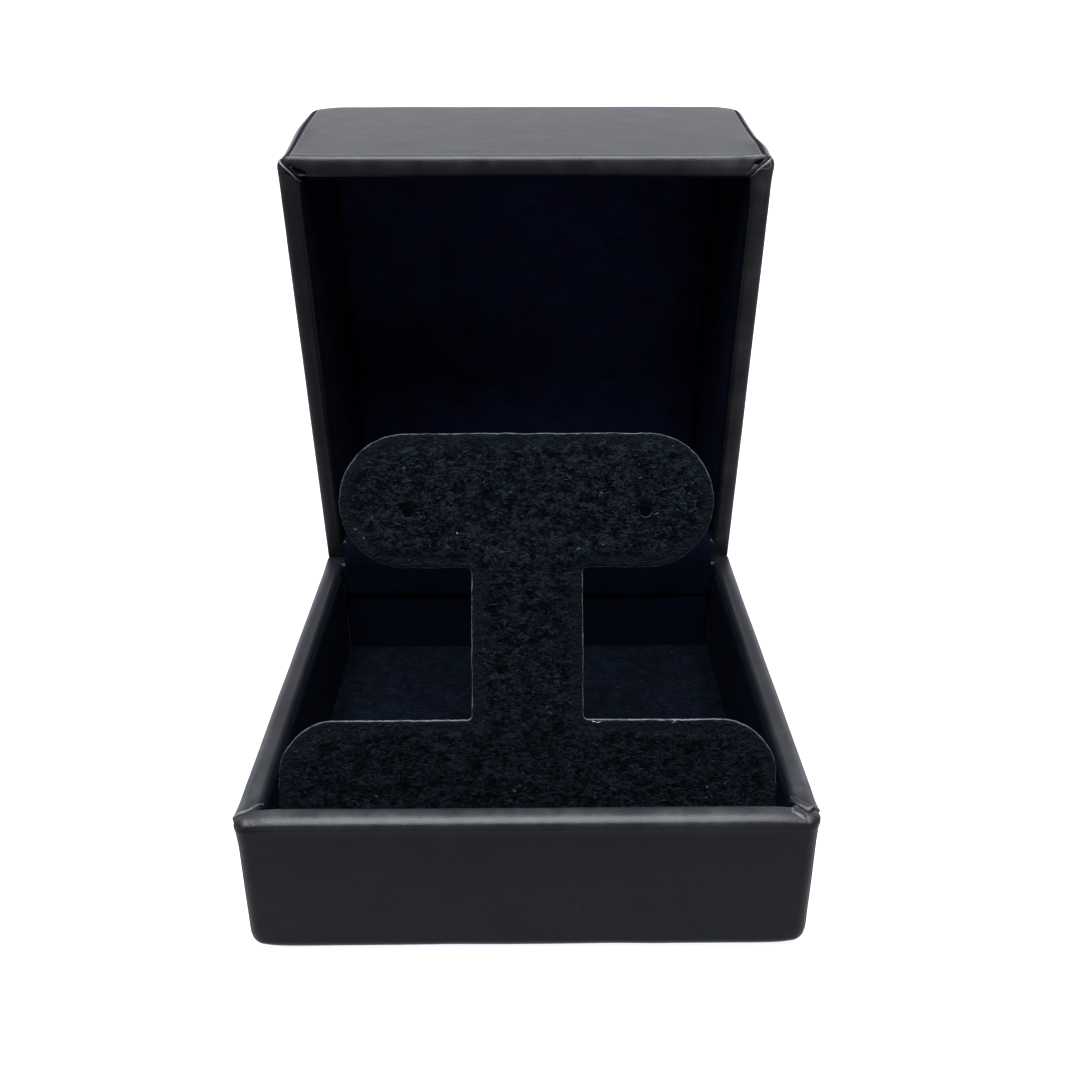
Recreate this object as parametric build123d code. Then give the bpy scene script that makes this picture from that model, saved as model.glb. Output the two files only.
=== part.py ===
from build123d import *
import os
import math

os.makedirs("parts", exist_ok=True)

# ---------------------------------------------------------------------------
# Earring box, about 70 x 69 x 51 mm closed, shown open.
# Millimetres. Origin: centre of the underside of the base. +Z up, the front
# of the box faces -Y, +X is to the right of a person in front of it.
# ---------------------------------------------------------------------------

W = 70.0            # outside width
D = 68.9            # outside depth of each half
H_BASE = 20.7       # height of the base half to its rim
GAP = 0.1           # rims stand this far apart when the lid is shut
H_LID = 30.5        # height of the lid half
OPEN_DEG = 80.6     # angle of the open lid from shut

WRAP = 0.4          # leatherette thickness
TURN_IN = 0.35      # leatherette turned in over the rim
WALL = 2.1          # moulded wall
FLOOR_T = 2.0       # moulded floor and lid top
SHEET = 0.3         # sheet under the base
LINER = 0.4         # velvet-faced card strip
R_VERT = 1.7        # upright front corner radius, outside
C_BACK = 0.45       # flat across the upright corners on the hinge side
R_RIM = 1.4         # outer rim edge radius, front and sides
R_RIM_BACK = 0.35   # outer rim edge radius along the hinge, folded tight
R_RIM_IN = 0.6      # inner rim edge radius
R_BOT = 2.2         # bottom edge radius of the base
R_TOP = 2.8         # top edge radius of the lid
TURN_DEPTH = 9.0    # how far the leatherette is turned down inside

AXIS_BACK = 0.2     # hinge axis behind the back face
R_PIN = 0.35
R_BORE = 0.38
R_BARREL = 0.66
R_GROOVE = 0.92
LEAF_T = 0.3
LEAF_H = 9.0
LEAF_W = 52.0
STRIP_HALF = 31.5   # half the width of the velvet strip over the hinge
R_RIVET = 0.6

FLOOR_TOP = 4.7     # top of the velvet floor
PANEL_T = 0.8       # velvet floor panel
PAD_T = 2.0         # soft pad under the lid's top
PAD_BOARD = 0.8

CARD_LEAN = 66.9    # card's angle from the floor when open
CARD_SHUT = 42.0    # card's angle from the floor when the lid is shut
CORE_T = 0.5        # card's core
FRONT_T = 0.4       # flocking on the front
BACK_T = 0.25       # flocking on the back
CARD_L = 59.1       # foot axis to the top edge
LOW_W = 63.0        # wide lower part
LOW_H = 22.9        # its height above the foot axis
LOW_R = 7.2         # its shoulder radius
STEM_W = 14.05
BAR_W = 47.2
BAR_H = 16.9
INNER_R = 0.7       # small radii where the stem meets the bar and the base
HOLE_R = 0.78       # earring post holes
HOLE_SPACING = 30.0
HOLE_DOWN = 9.8     # below the top edge
CARD_EDGE = 0.15    # bare cut edge round the flocking
FOOT_Y = -D / 2 + 3.8
FOOT_Z = 5.0        # crease axis at the foot of the card

AX_Y = D / 2 + AXIS_BACK
AX_Z = H_BASE + GAP / 2


def rounded_box(w, d, z0, z1, r_vert, r_low=0.0, r_high=0.0, yc=0.0):
    """Upright block with rounded upright corners and rounded ends."""
    b = Pos(0, yc, (z0 + z1) / 2) * Box(w, d, z1 - z0)
    b = fillet(b.edges().filter_by(Axis.Z), r_vert)
    if r_low > 0:
        b = fillet(b.edges().group_by(Axis.Z)[0], r_low)
    if r_high > 0:
        b = fillet(b.edges().group_by(Axis.Z)[-1], r_high)
    return b


def half_block(w, d, z0, z1, r_front, c_back, r_end, r_rim, r_rim_back):
    """Solid of one half, rim up: rounded rim at the front and sides, tight on the hinge side."""
    b = Pos(0, 0, (z0 + z1) / 2) * Box(w, d, z1 - z0)
    b = fillet([e for e in b.edges().filter_by(Axis.Z) if e.center().Y < 0], r_front)
    b = fillet(b.edges().group_by(Axis.Z)[0], r_end)
    top = [e for e in b.edges() if abs(e.center().Z - z1) < 1e-4]
    b = fillet([e for e in top if e.center().Y < d / 2 - 1e-3], r_rim)
    top = [e for e in b.edges() if abs(e.center().Z - z1) < 1e-4]
    b = fillet([e for e in top if abs(e.center().Y - d / 2) < 1e-3], r_rim_back)
    # upright edges on the hinge side, just broken
    for s in (-1, 1):
        b -= Pos(s * w / 2, d / 2, (z0 + z1) / 2) * Rot(0, 0, 45) * Box(
            c_back, c_back, z1 - z0 + 2
        )
    return b


def block(x0, x1, y0, y1, z0, z1):
    return Pos((x0 + x1) / 2, (y0 + y1) / 2, (z0 + z1) / 2) * Box(
        abs(x1 - x0), abs(y1 - y0), abs(z1 - z0)
    )


def rod_x(x0, x1, y, z, r):
    return Pos((x0 + x1) / 2, y, z) * Rot(0, 90, 0) * Cylinder(r, abs(x1 - x0))


def rod_y(y0, y1, x, z, r):
    return Pos(x, (y0 + y1) / 2, z) * Rot(90, 0, 0) * Cylinder(r, abs(y1 - y0))


def one(shape):
    s = shape.solids()
    return s[0] if len(s) == 1 else Compound(children=list(s))


def save(shape, name):
    s = one(shape)
    s.label = name
    export_step(s, "parts/" + name + ".step")
    print(name, len(shape.solids()), round(sum(v.volume for v in shape.solids()), 3))


# --- wall stations ---------------------------------------------------------
SHELL_X = W / 2 - WRAP                 # outer face of the moulded wall
SHELL_Y = D / 2 - WRAP
CAV_X = SHELL_X - WALL                 # inner face of the moulded wall
CAV_Y = SHELL_Y - WALL
TURN_X = CAV_X - TURN_IN               # inner face of the turned-in leatherette
TURN_Y = CAV_Y - TURN_IN
IN_X = TURN_X - LINER                  # face of the velvet liners
IN_Y = TURN_Y - LINER

# knuckles along X: base has three, lid has two, a spring sits in each gap
BASE_KNUCKLES = [(-24.0, -16.0), (-4.0, 4.0), (16.0, 24.0)]
LID_KNUCKLES = [(-15.9, -8.0), (8.0, 15.9)]
SPRING_SPANS = [(-7.8, -4.2), (4.2, 7.8)]
RIVET_X = [-20.0, -7.0, 7.0, 20.0]


# ===========================================================================
# One half of the box, built with its rim up at height `rim`, its closed end
# down at z = `end`. The lid is the same construction turned over.
# ===========================================================================
def half(end, rim, r_end, floor_t, under_wrap, knuckles):
    ow = half_block(W, D, end, rim, R_VERT, C_BACK, r_end, R_RIM, R_RIM_BACK)
    so = half_block(
        2 * SHELL_X, 2 * SHELL_Y, end + WRAP, rim - WRAP,
        R_VERT - WRAP, 0.15, r_end - WRAP, R_RIM - WRAP, 0.15,
    )
    cavity = rounded_box(
        2 * CAV_X, 2 * CAV_Y, end + WRAP + floor_t, rim + 5, 0.8
    )
    shell = so - cavity

    # leatherette: outside, over the rim, and down inside
    turn_hole = rounded_box(
        2 * TURN_X, 2 * TURN_Y, rim - TURN_DEPTH - 5, rim + 5, 0.35
    )
    inner_low = rounded_box(2 * CAV_X, 2 * CAV_Y, end + 1, rim - TURN_DEPTH, 0.8)
    wrap = ow - (so - cavity) - turn_hole - inner_low
    if under_wrap:
        wrap -= block(-W / 2 + 9, W / 2 - 9, -D / 2 + 9, D / 2 - 9, end - 1, end + WRAP)
    # the inner part of the cavity is open all the way down
    wrap -= rounded_box(
        2 * CAV_X, 2 * CAV_Y, end + WRAP + 0.001, rim - TURN_DEPTH, 0.8
    )
    rim_in = [
        e for e in wrap.edges()
        if abs(e.center().Z - rim) < 1e-3
        and abs(e.center().X) < TURN_X + 0.01
        and abs(e.center().Y) < TURN_Y + 0.01
    ]
    if rim_in:
        try:
            wrap = fillet(rim_in, R_RIM_IN)
        except Exception:
            print("inner rim edge left sharp")

    # hinge leaf in a shallow recess of the back wall, under the leatherette
    leaf_y1 = SHELL_Y
    leaf_y0 = SHELL_Y - LEAF_T
    top = rim - 1.4
    leaf = block(-LEAF_W / 2, LEAF_W / 2, leaf_y0, leaf_y1, top - LEAF_H, top)
    recess = block(-LEAF_W / 2, LEAF_W / 2, leaf_y0, leaf_y1 + 0.2, top - LEAF_H, top)
    slot = None
    for a, b in knuckles:
        leaf += block(a, b, leaf_y0, leaf_y1, top - 0.1, rim - 0.3)
        leaf += block(a, b, leaf_y0 + 0.05, AX_Y - R_BORE + 0.02, rim - 0.75, rim + GAP / 2)
        leaf += rod_x(a, b, AX_Y, rim + GAP / 2, R_BARREL)
        s = block(a - 0.1, b + 0.1, leaf_y0, SHELL_Y + 1.0, top - 0.1, rim + 1)
        slot = s if slot is None else slot + s
    leaf -= rod_x(-30, 30, AX_Y, rim + GAP / 2, R_BORE)
    # groove round the hinge axis, so that the other half's knuckles pass
    groove = rod_x(-25.0, 25.0, AX_Y, rim + GAP / 2, R_GROOVE)
    shell = shell - recess - slot - groove
    wrap = wrap - slot - groove
    holes = None
    rivets = None
    for x in RIVET_X:
        zr = top - LEAF_H / 2
        shank = rod_y(CAV_Y + 0.4, SHELL_Y, x, zr, R_RIVET)
        head = rod_y(CAV_Y, CAV_Y + 0.4, x, zr, R_RIVET + 0.6)
        r = shank + head
        rivets = r if rivets is None else rivets + r
    shell = shell - rivets
    leaf = leaf - rivets
    return shell, wrap, leaf, rivets


def liners(floor_z, rim, cut_back):
    """Four velvet-faced strips standing on the cavity floor."""
    top = rim - 1.3
    left = block(-TURN_X, -IN_X, -TURN_Y + 0.36, TURN_Y - 0.36, floor_z, top)
    # rear top corner is cut back, and shows the turned-in leatherette
    left -= block(-TURN_X - 1, -IN_X + 1, TURN_Y - cut_back, TURN_Y + 1, top - 3.2, top + 1)
    right = mirror(left, about=Plane.YZ)
    front = block(-IN_X, IN_X, -TURN_Y, -IN_Y, floor_z, top)
    back = block(-IN_X, IN_X, IN_Y, TURN_Y, floor_z, top - 0.6)
    return left, right, front, back


# ---------------------------------------------------------------------------
# Base half
# ---------------------------------------------------------------------------
END_B = SHEET
shell_b, wrap_b, leaf_b, rivets_b = half(
    END_B, H_BASE, R_BOT, FLOOR_T, True, BASE_KNUCKLES
)
FLOOR_Z = END_B + WRAP + FLOOR_T
save(shell_b, "base_shell")
save(wrap_b, "base_wrap")
sheet = rounded_box(W - 2 * 3.0, D - 2 * 3.0, 0, SHEET, 2.0)
save(sheet, "base_bottom_sheet")
lb, rb, fb, bb = liners(FLOOR_Z, H_BASE, 3.0)
save(lb, "base_liner_left")
save(rb, "base_liner_right")
save(fb, "base_liner_front")
save(bb, "base_liner_back")
spacer = block(
    -IN_X + 0.4, IN_X - 0.4, -IN_Y + 0.4, IN_Y - 0.4, FLOOR_Z, FLOOR_TOP - PANEL_T
)
save(spacer, "floor_spacer")
panel = block(
    -IN_X + 0.05, IN_X - 0.05, FOOT_Y + 1.0, IN_Y - 0.05, FLOOR_TOP - PANEL_T, FLOOR_TOP
)
panel = fillet(panel.edges().filter_by(Axis.X).group_by(Axis.Z)[-1].sort_by(Axis.Y)[0], 0.4)
save(panel, "floor_panel")
save(leaf_b, "hinge_leaf_base")
save(rivets_b, "hinge_rivets_base")
pin = rod_x(-24.6, 24.6, AX_Y, AX_Z, R_PIN)
save(pin, "hinge_pin")

# two torsion springs, wound loosely round the pin between the knuckles
WIRE = 0.1
SPRING_R = 0.5
springs = None
for a, b in SPRING_SPANS:
    path = Helix(pitch=0.6, height=b - a - 0.6, radius=SPRING_R)
    section = Plane(origin=path @ 0, z_dir=path % 0) * Circle(WIRE)
    coil = sweep(section, path=path, is_frenet=True)
    coil = Pos(a + 0.3, AX_Y, AX_Z) * Rot(0, 90, 0) * coil
    springs = coil if springs is None else springs + coil
save(springs, "hinge_springs")

# ---------------------------------------------------------------------------
# Lid half: built like the base, rim up, then turned over on to the base and
# swung open about the hinge axis
# ---------------------------------------------------------------------------
shell_l, wrap_l, leaf_l, rivets_l = half(
    H_BASE - H_LID, H_BASE, R_TOP, FLOOR_T, False, LID_KNUCKLES
)
CEIL_Z = H_BASE - H_LID + WRAP + FLOOR_T
ll, rl, fl, bl = liners(CEIL_Z, H_BASE, 3.0)
pad_board = block(
    -IN_X + 0.4, IN_X - 0.4, -IN_Y + 0.4, IN_Y - 0.4, CEIL_Z, CEIL_Z + PAD_BOARD
)
pad = rounded_box(
    2 * IN_X - 0.3, 2 * IN_Y - 0.3, CEIL_Z + PAD_BOARD, CEIL_Z + PAD_BOARD + PAD_T, 1.0, 0, 0.8
)

SHUT = Pos(0, 0, 2 * H_BASE + GAP) * Rot(0, 180, 0)   # rim down, on the base
SWING = (
    Pos(0, AX_Y, AX_Z) * Rot(-OPEN_DEG, 0, 0) * Pos(0, -AX_Y, -AX_Z)
)
LID = SWING * SHUT
for s, n in [
    (shell_l, "lid_shell"), (wrap_l, "lid_wrap"),
    (ll, "lid_liner_right"), (rl, "lid_liner_left"),
    (fl, "lid_liner_front"), (bl, "lid_liner_back"),
    (pad_board, "lid_pad_board"), (pad, "lid_pad"),
    (leaf_l, "hinge_leaf_lid"), (rivets_l, "hinge_rivets_lid"),
]:
    save(LID * s, n)

# ---------------------------------------------------------------------------
# Velvet strip over the inside of the hinge, at rest with the lid open.
# It starts on the base's back liner, turns round the hinge axis, and ends on
# the lid's back liner.
# ---------------------------------------------------------------------------
STRIP_T = 0.35
r_in = AX_Y - IN_Y + 0.06        # inner radius of the turn: clears both liners
r_out = r_in + STRIP_T
z_low = H_BASE - 6.0
half_w = STRIP_HALF
a0 = math.radians(180)
a1 = math.radians(180 - OPEN_DEG)


def on_arc(r, a):
    return (AX_Y + r * math.cos(a), AX_Z + r * math.sin(a))


def along(p, a, d):
    # direction of the lid's back wall away from the hinge
    return (p[0] + d * math.sin(a), p[1] - d * math.cos(a))


LID_DIR = math.radians(90 - OPEN_DEG)
up = (math.cos(LID_DIR), math.sin(LID_DIR))
p_in0 = (AX_Y - r_in, z_low)
p_in1 = (AX_Y - r_in, AX_Z)
p_in2 = on_arc(r_in, a1)
p_in3 = (p_in2[0] + 6.0 * up[0], p_in2[1] + 6.0 * up[1])
p_out0 = (AX_Y - r_out, z_low)
p_out1 = (AX_Y - r_out, AX_Z)
p_out2 = on_arc(r_out, a1)
p_out3 = (p_out2[0] + 6.0 * up[0], p_out2[1] + 6.0 * up[1])
mid_in = on_arc(r_in, (a0 + a1) / 2)
mid_out = on_arc(r_out, (a0 + a1) / 2)
strip_wire = Wire(
    [
        Line(p_in0, p_in1),
        ThreePointArc(p_in1, mid_in, p_in2),
        Line(p_in2, p_in3),
        Line(p_in3, p_out3),
        Line(p_out3, p_out2),
        ThreePointArc(p_out2, mid_out, p_out1),
        Line(p_out1, p_out0),
        Line(p_out0, p_in0),
    ]
)
strip_face = Plane.YZ.offset(-half_w) * make_face(strip_wire)
strip = extrude(strip_face, amount=2 * half_w, dir=(1, 0, 0))
save(strip, "hinge_cover_strip")

# ---------------------------------------------------------------------------
# Earring card. Drawn flat: X across, Y up the card from the crease axis,
# Z out of the front face. Then tilted back about the crease.
# ---------------------------------------------------------------------------
LOW_START = 0.45    # lower edge of the stiff card above the crease axis


def card_outline(inset):
    low = Pos(0, (LOW_START + inset + LOW_H - inset) / 2) * Rectangle(
        LOW_W - 2 * inset, LOW_H - LOW_START - 2 * inset
    )
    low = fillet(low.vertices().group_by(Axis.Y)[-1], LOW_R - inset)
    stem = Pos(0, (LOW_H - 4 + CARD_L - 4) / 2) * Rectangle(
        STEM_W - 2 * inset, CARD_L - LOW_H
    )
    bar = Pos(0, CARD_L - BAR_H / 2) * SlotOverall(BAR_W - 2 * inset, BAR_H - 2 * inset)
    s = low + stem + bar
    near = [
        v for v in s.vertices()
        if abs(abs(v.X) - (STEM_W / 2 - inset)) < 0.02
        and LOW_H - 2 < v.Y < CARD_L - BAR_H + 2
    ]
    if near:
        s = fillet(near, INNER_R + inset)
    return s


def card_layer(inset, z0, z1, hole_r):
    s = extrude(card_outline(inset), amount=z1 - z0)
    s = Pos(0, 0, z0) * s
    for x in (-HOLE_SPACING / 2, HOLE_SPACING / 2):
        s -= Pos(x, CARD_L - HOLE_DOWN, (z0 + z1) / 2) * Cylinder(hole_r, 4)
    return s


# velvet crease that joins the card's foot to the floor panel
f0 = FOOT_Y


def foot(z):
    """Point on the stiff card's lower edge, z through its thickness."""
    a = math.radians(CARD_LEAN)
    return (
        f0 + LOW_START * math.cos(a) - z * math.sin(a),
        FOOT_Z + LOW_START * math.sin(a) + z * math.cos(a),
    )


crease_pts = [
    (f0 + 1.0, 3.95), (f0 - 0.2, 3.95), (f0 - 0.2, 4.9),
    foot(CORE_T / 2), foot(0.05), (f0, 4.85), (f0, 4.15),
    (f0 + 1.0, 4.15),
]
crease_face = Plane.YZ.offset(-30.0) * make_face(Polyline(*crease_pts, close=True))
crease = extrude(crease_face, amount=60.0, dir=(1, 0, 0))
save(crease, "card_crease")

TILT = Pos(0, FOOT_Y, FOOT_Z) * Rot(CARD_LEAN, 0, 0)
core = card_layer(0.0, -CORE_T / 2, CORE_T / 2, HOLE_R)
front = card_layer(CARD_EDGE, CORE_T / 2, CORE_T / 2 + FRONT_T, HOLE_R)
back = card_layer(CARD_EDGE, -CORE_T / 2 - BACK_T, -CORE_T / 2, HOLE_R)
save(TILT * core, "card_core")
save(TILT * front, "card_velvet_front")
save(TILT * back, "card_velvet_back")
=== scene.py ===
import bpy
import bmesh
import math
import numpy as np
from mathutils import Matrix, Vector, geometry


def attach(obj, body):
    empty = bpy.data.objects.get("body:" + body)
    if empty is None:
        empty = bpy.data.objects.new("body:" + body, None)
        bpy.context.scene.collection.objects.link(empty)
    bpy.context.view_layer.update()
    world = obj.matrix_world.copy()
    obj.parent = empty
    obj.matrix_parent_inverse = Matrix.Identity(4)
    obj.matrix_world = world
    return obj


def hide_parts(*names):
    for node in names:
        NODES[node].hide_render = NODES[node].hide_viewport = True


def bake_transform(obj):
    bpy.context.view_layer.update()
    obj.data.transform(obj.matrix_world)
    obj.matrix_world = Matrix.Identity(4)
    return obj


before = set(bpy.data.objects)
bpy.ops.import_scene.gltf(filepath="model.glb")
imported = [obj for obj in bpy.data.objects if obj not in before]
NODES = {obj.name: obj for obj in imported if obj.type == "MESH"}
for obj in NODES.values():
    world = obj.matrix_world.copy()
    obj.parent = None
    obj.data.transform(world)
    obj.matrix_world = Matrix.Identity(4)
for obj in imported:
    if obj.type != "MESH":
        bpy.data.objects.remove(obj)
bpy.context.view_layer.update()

MM = 0.001
rng = np.random.default_rng(7)

# ---------------------------------------------------------------------------
# sizes of the box, in millimetres, as the frame has them
# ---------------------------------------------------------------------------
W, D = 70.0, 68.9
H_BASE, GAP, H_LID, OPEN_DEG = 20.7, 0.1, 30.5, 80.6
WRAP, TURN_IN, WALL = 0.4, 0.35, 2.1
LINER, SHEET = 0.4, 0.3
R_CORNER = (1.7, 0.5, 0.5, 1.7)     # front right, back right, back left, front left
R_RIM, R_RIM_BACK, R_RIM_IN = 0.9, 0.15, 0.7
R_RIM_DEEP = 1.9                     # the bead is wider than it is high
R_BOT, R_TOP = 1.6, 2.2
TURN_DEPTH = 9.0
AX_Y, AX_Z = D / 2 + 0.2, H_BASE + GAP / 2
TURN_X, TURN_Y = W / 2 - WRAP - WALL - TURN_IN, D / 2 - WRAP - WALL - TURN_IN
IN_X, IN_Y = TURN_X - LINER, TURN_Y - LINER
FLOOR_TOP, PANEL_T = 4.7, 0.8
FLOOR_Z = SHEET + WRAP + 2.0
END_L = H_BASE - H_LID
CEIL_Z = END_L + WRAP + 2.0
PAD_BOARD, PAD_T = 0.8, 2.0
CARD_LEAN = 66.9
FOOT_Y, FOOT_Z = -D / 2 + 3.8, 5.0
LOW_START = 0.45
CARD_L, LOW_W, LOW_H, LOW_R = 59.1, 63.0, 22.9, 7.2
STEM_W, BAR_W, BAR_H = 14.05, 47.2, 16.9
INNER_R = 0.7
HOLE_R, HOLE_X, HOLE_DOWN = 0.78, 15.0, 9.8
CORE_T, FRONT_T, BACK_T, CARD_EDGE = 0.5, 0.4, 0.25, 0.15

# lid: built rim up like the base, turned over, swung open about the hinge
SHUT = Matrix.Translation((0, 0, 2 * H_BASE + GAP)) @ Matrix.Rotation(math.pi, 4, "Y")
SWING = (
    Matrix.Translation((0, AX_Y, AX_Z))
    @ Matrix.Rotation(math.radians(-OPEN_DEG), 4, "X")
    @ Matrix.Translation((0, -AX_Y, -AX_Z))
)
LID = SWING @ SHUT
CARD = Matrix.Translation((0, FOOT_Y, FOOT_Z)) @ Matrix.Rotation(
    math.radians(CARD_LEAN), 4, "X"
)


# ---------------------------------------------------------------------------
# smooth repeatable noise
# ---------------------------------------------------------------------------
def _hash(ix, iy, iz, seed):
    h = (
        ix.astype(np.int64) * 73856093
        ^ iy.astype(np.int64) * 19349663
        ^ iz.astype(np.int64) * 83492791
        ^ (seed * 2654435761)
    )
    h = (h ^ (h >> 13)) * 1274126177
    h = h ^ (h >> 16)
    return (h & 0xFFFFFF).astype(float) / 0xFFFFFF * 2 - 1


def noise(p, scale, seed=0):
    """Value noise in -1..1 at points p (N,3), one cell = scale."""
    q = np.asarray(p, float) / scale
    i = np.floor(q)
    f = q - i
    u = f * f * f * (f * (f * 6 - 15) + 10)
    i = i.astype(np.int64)
    out = np.zeros(len(q))
    for dx in (0, 1):
        for dy in (0, 1):
            for dz in (0, 1):
                w = (
                    np.where(dx, u[:, 0], 1 - u[:, 0])
                    * np.where(dy, u[:, 1], 1 - u[:, 1])
                    * np.where(dz, u[:, 2], 1 - u[:, 2])
                )
                out += w * _hash(i[:, 0] + dx, i[:, 1] + dy, i[:, 2] + dz, seed)
    return out


def smooth(x, a, b):
    t = np.clip((np.asarray(x, float) - a) / (b - a), 0, 1)
    return t * t * (3 - 2 * t)


# ---------------------------------------------------------------------------
# mesh helpers
# ---------------------------------------------------------------------------
def make(name, verts, faces, mat, xf=None, attrs=None, smooth_shade=True):
    v = np.asarray(verts, float)
    if xf is not None:
        m = np.array(xf, float)
        v = v @ m[:3, :3].T + m[:3, 3]
    me = bpy.data.meshes.new(name)
    me.from_pydata((v * MM).tolist(), [], [tuple(f) for f in faces])
    me.validate()
    for k, a in (attrs or {}).items():
        at = me.attributes.new(k, "FLOAT", "POINT")
        at.data.foreach_set("value", np.asarray(a, np.float32))
    ob = bpy.data.objects.new(name, me)
    bpy.context.scene.collection.objects.link(ob)
    bm = bmesh.new()
    bm.from_mesh(me)
    bmesh.ops.recalc_face_normals(bm, faces=bm.faces)
    bm.to_mesh(me)
    bm.free()
    if smooth_shade:
        me.polygons.foreach_set("use_smooth", [True] * len(me.polygons))
    me.materials.append(mat)
    me.update()
    return ob


# ---------------------------------------------------------------------------
# materials
# ---------------------------------------------------------------------------
def material(name):
    m = bpy.data.materials.new(name)
    m.use_nodes = True
    nt = m.node_tree
    for n in list(nt.nodes):
        nt.nodes.remove(n)
    out = nt.nodes.new("ShaderNodeOutputMaterial")
    b = nt.nodes.new("ShaderNodeBsdfPrincipled")
    nt.links.new(b.outputs[0], out.inputs[0])
    return m, nt, b


def node(nt, kind, **kw):
    n = nt.nodes.new(kind)
    for k, v in kw.items():
        if k in n.inputs:
            n.inputs[k].default_value = v
        else:
            setattr(n, k, v)
    return n


def coords(nt, scale=(1, 1, 1)):
    tc = nt.nodes.new("ShaderNodeTexCoord")
    mp = nt.nodes.new("ShaderNodeMapping")
    mp.inputs["Scale"].default_value = scale
    nt.links.new(tc.outputs["Object"], mp.inputs["Vector"])
    return mp.outputs["Vector"]


def ramp(nt, src, stops):
    r = nt.nodes.new("ShaderNodeValToRGB")
    el = r.color_ramp.elements
    el[0].position, el[0].color = stops[0][0], (*stops[0][1], 1)
    el[1].position, el[1].color = stops[-1][0], (*stops[-1][1], 1)
    for p, c in stops[1:-1]:
        e = el.new(p)
        e.color = (*c, 1)
    nt.links.new(src, r.inputs["Fac"])
    return r


def mix_rgb(nt, fac, a, b, mode="MIX"):
    m = nt.nodes.new("ShaderNodeMix")
    m.data_type = "RGBA"
    m.blend_type = mode
    for sock, val in ((m.inputs[0], fac), (m.inputs[6], a), (m.inputs[7], b)):
        if isinstance(val, bpy.types.NodeSocket):
            nt.links.new(val, sock)
        elif isinstance(val, tuple):
            sock.default_value = (*val, 1)
        else:
            sock.default_value = val
    return m.outputs[2]


def math_node(nt, op, a, b=None):
    m = nt.nodes.new("ShaderNodeMath")
    m.operation = op
    for k, val in enumerate((a, b)):
        if val is None:
            continue
        if isinstance(val, bpy.types.NodeSocket):
            nt.links.new(val, m.inputs[k])
        else:
            m.inputs[k].default_value = val
    return m.outputs[0]


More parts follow.
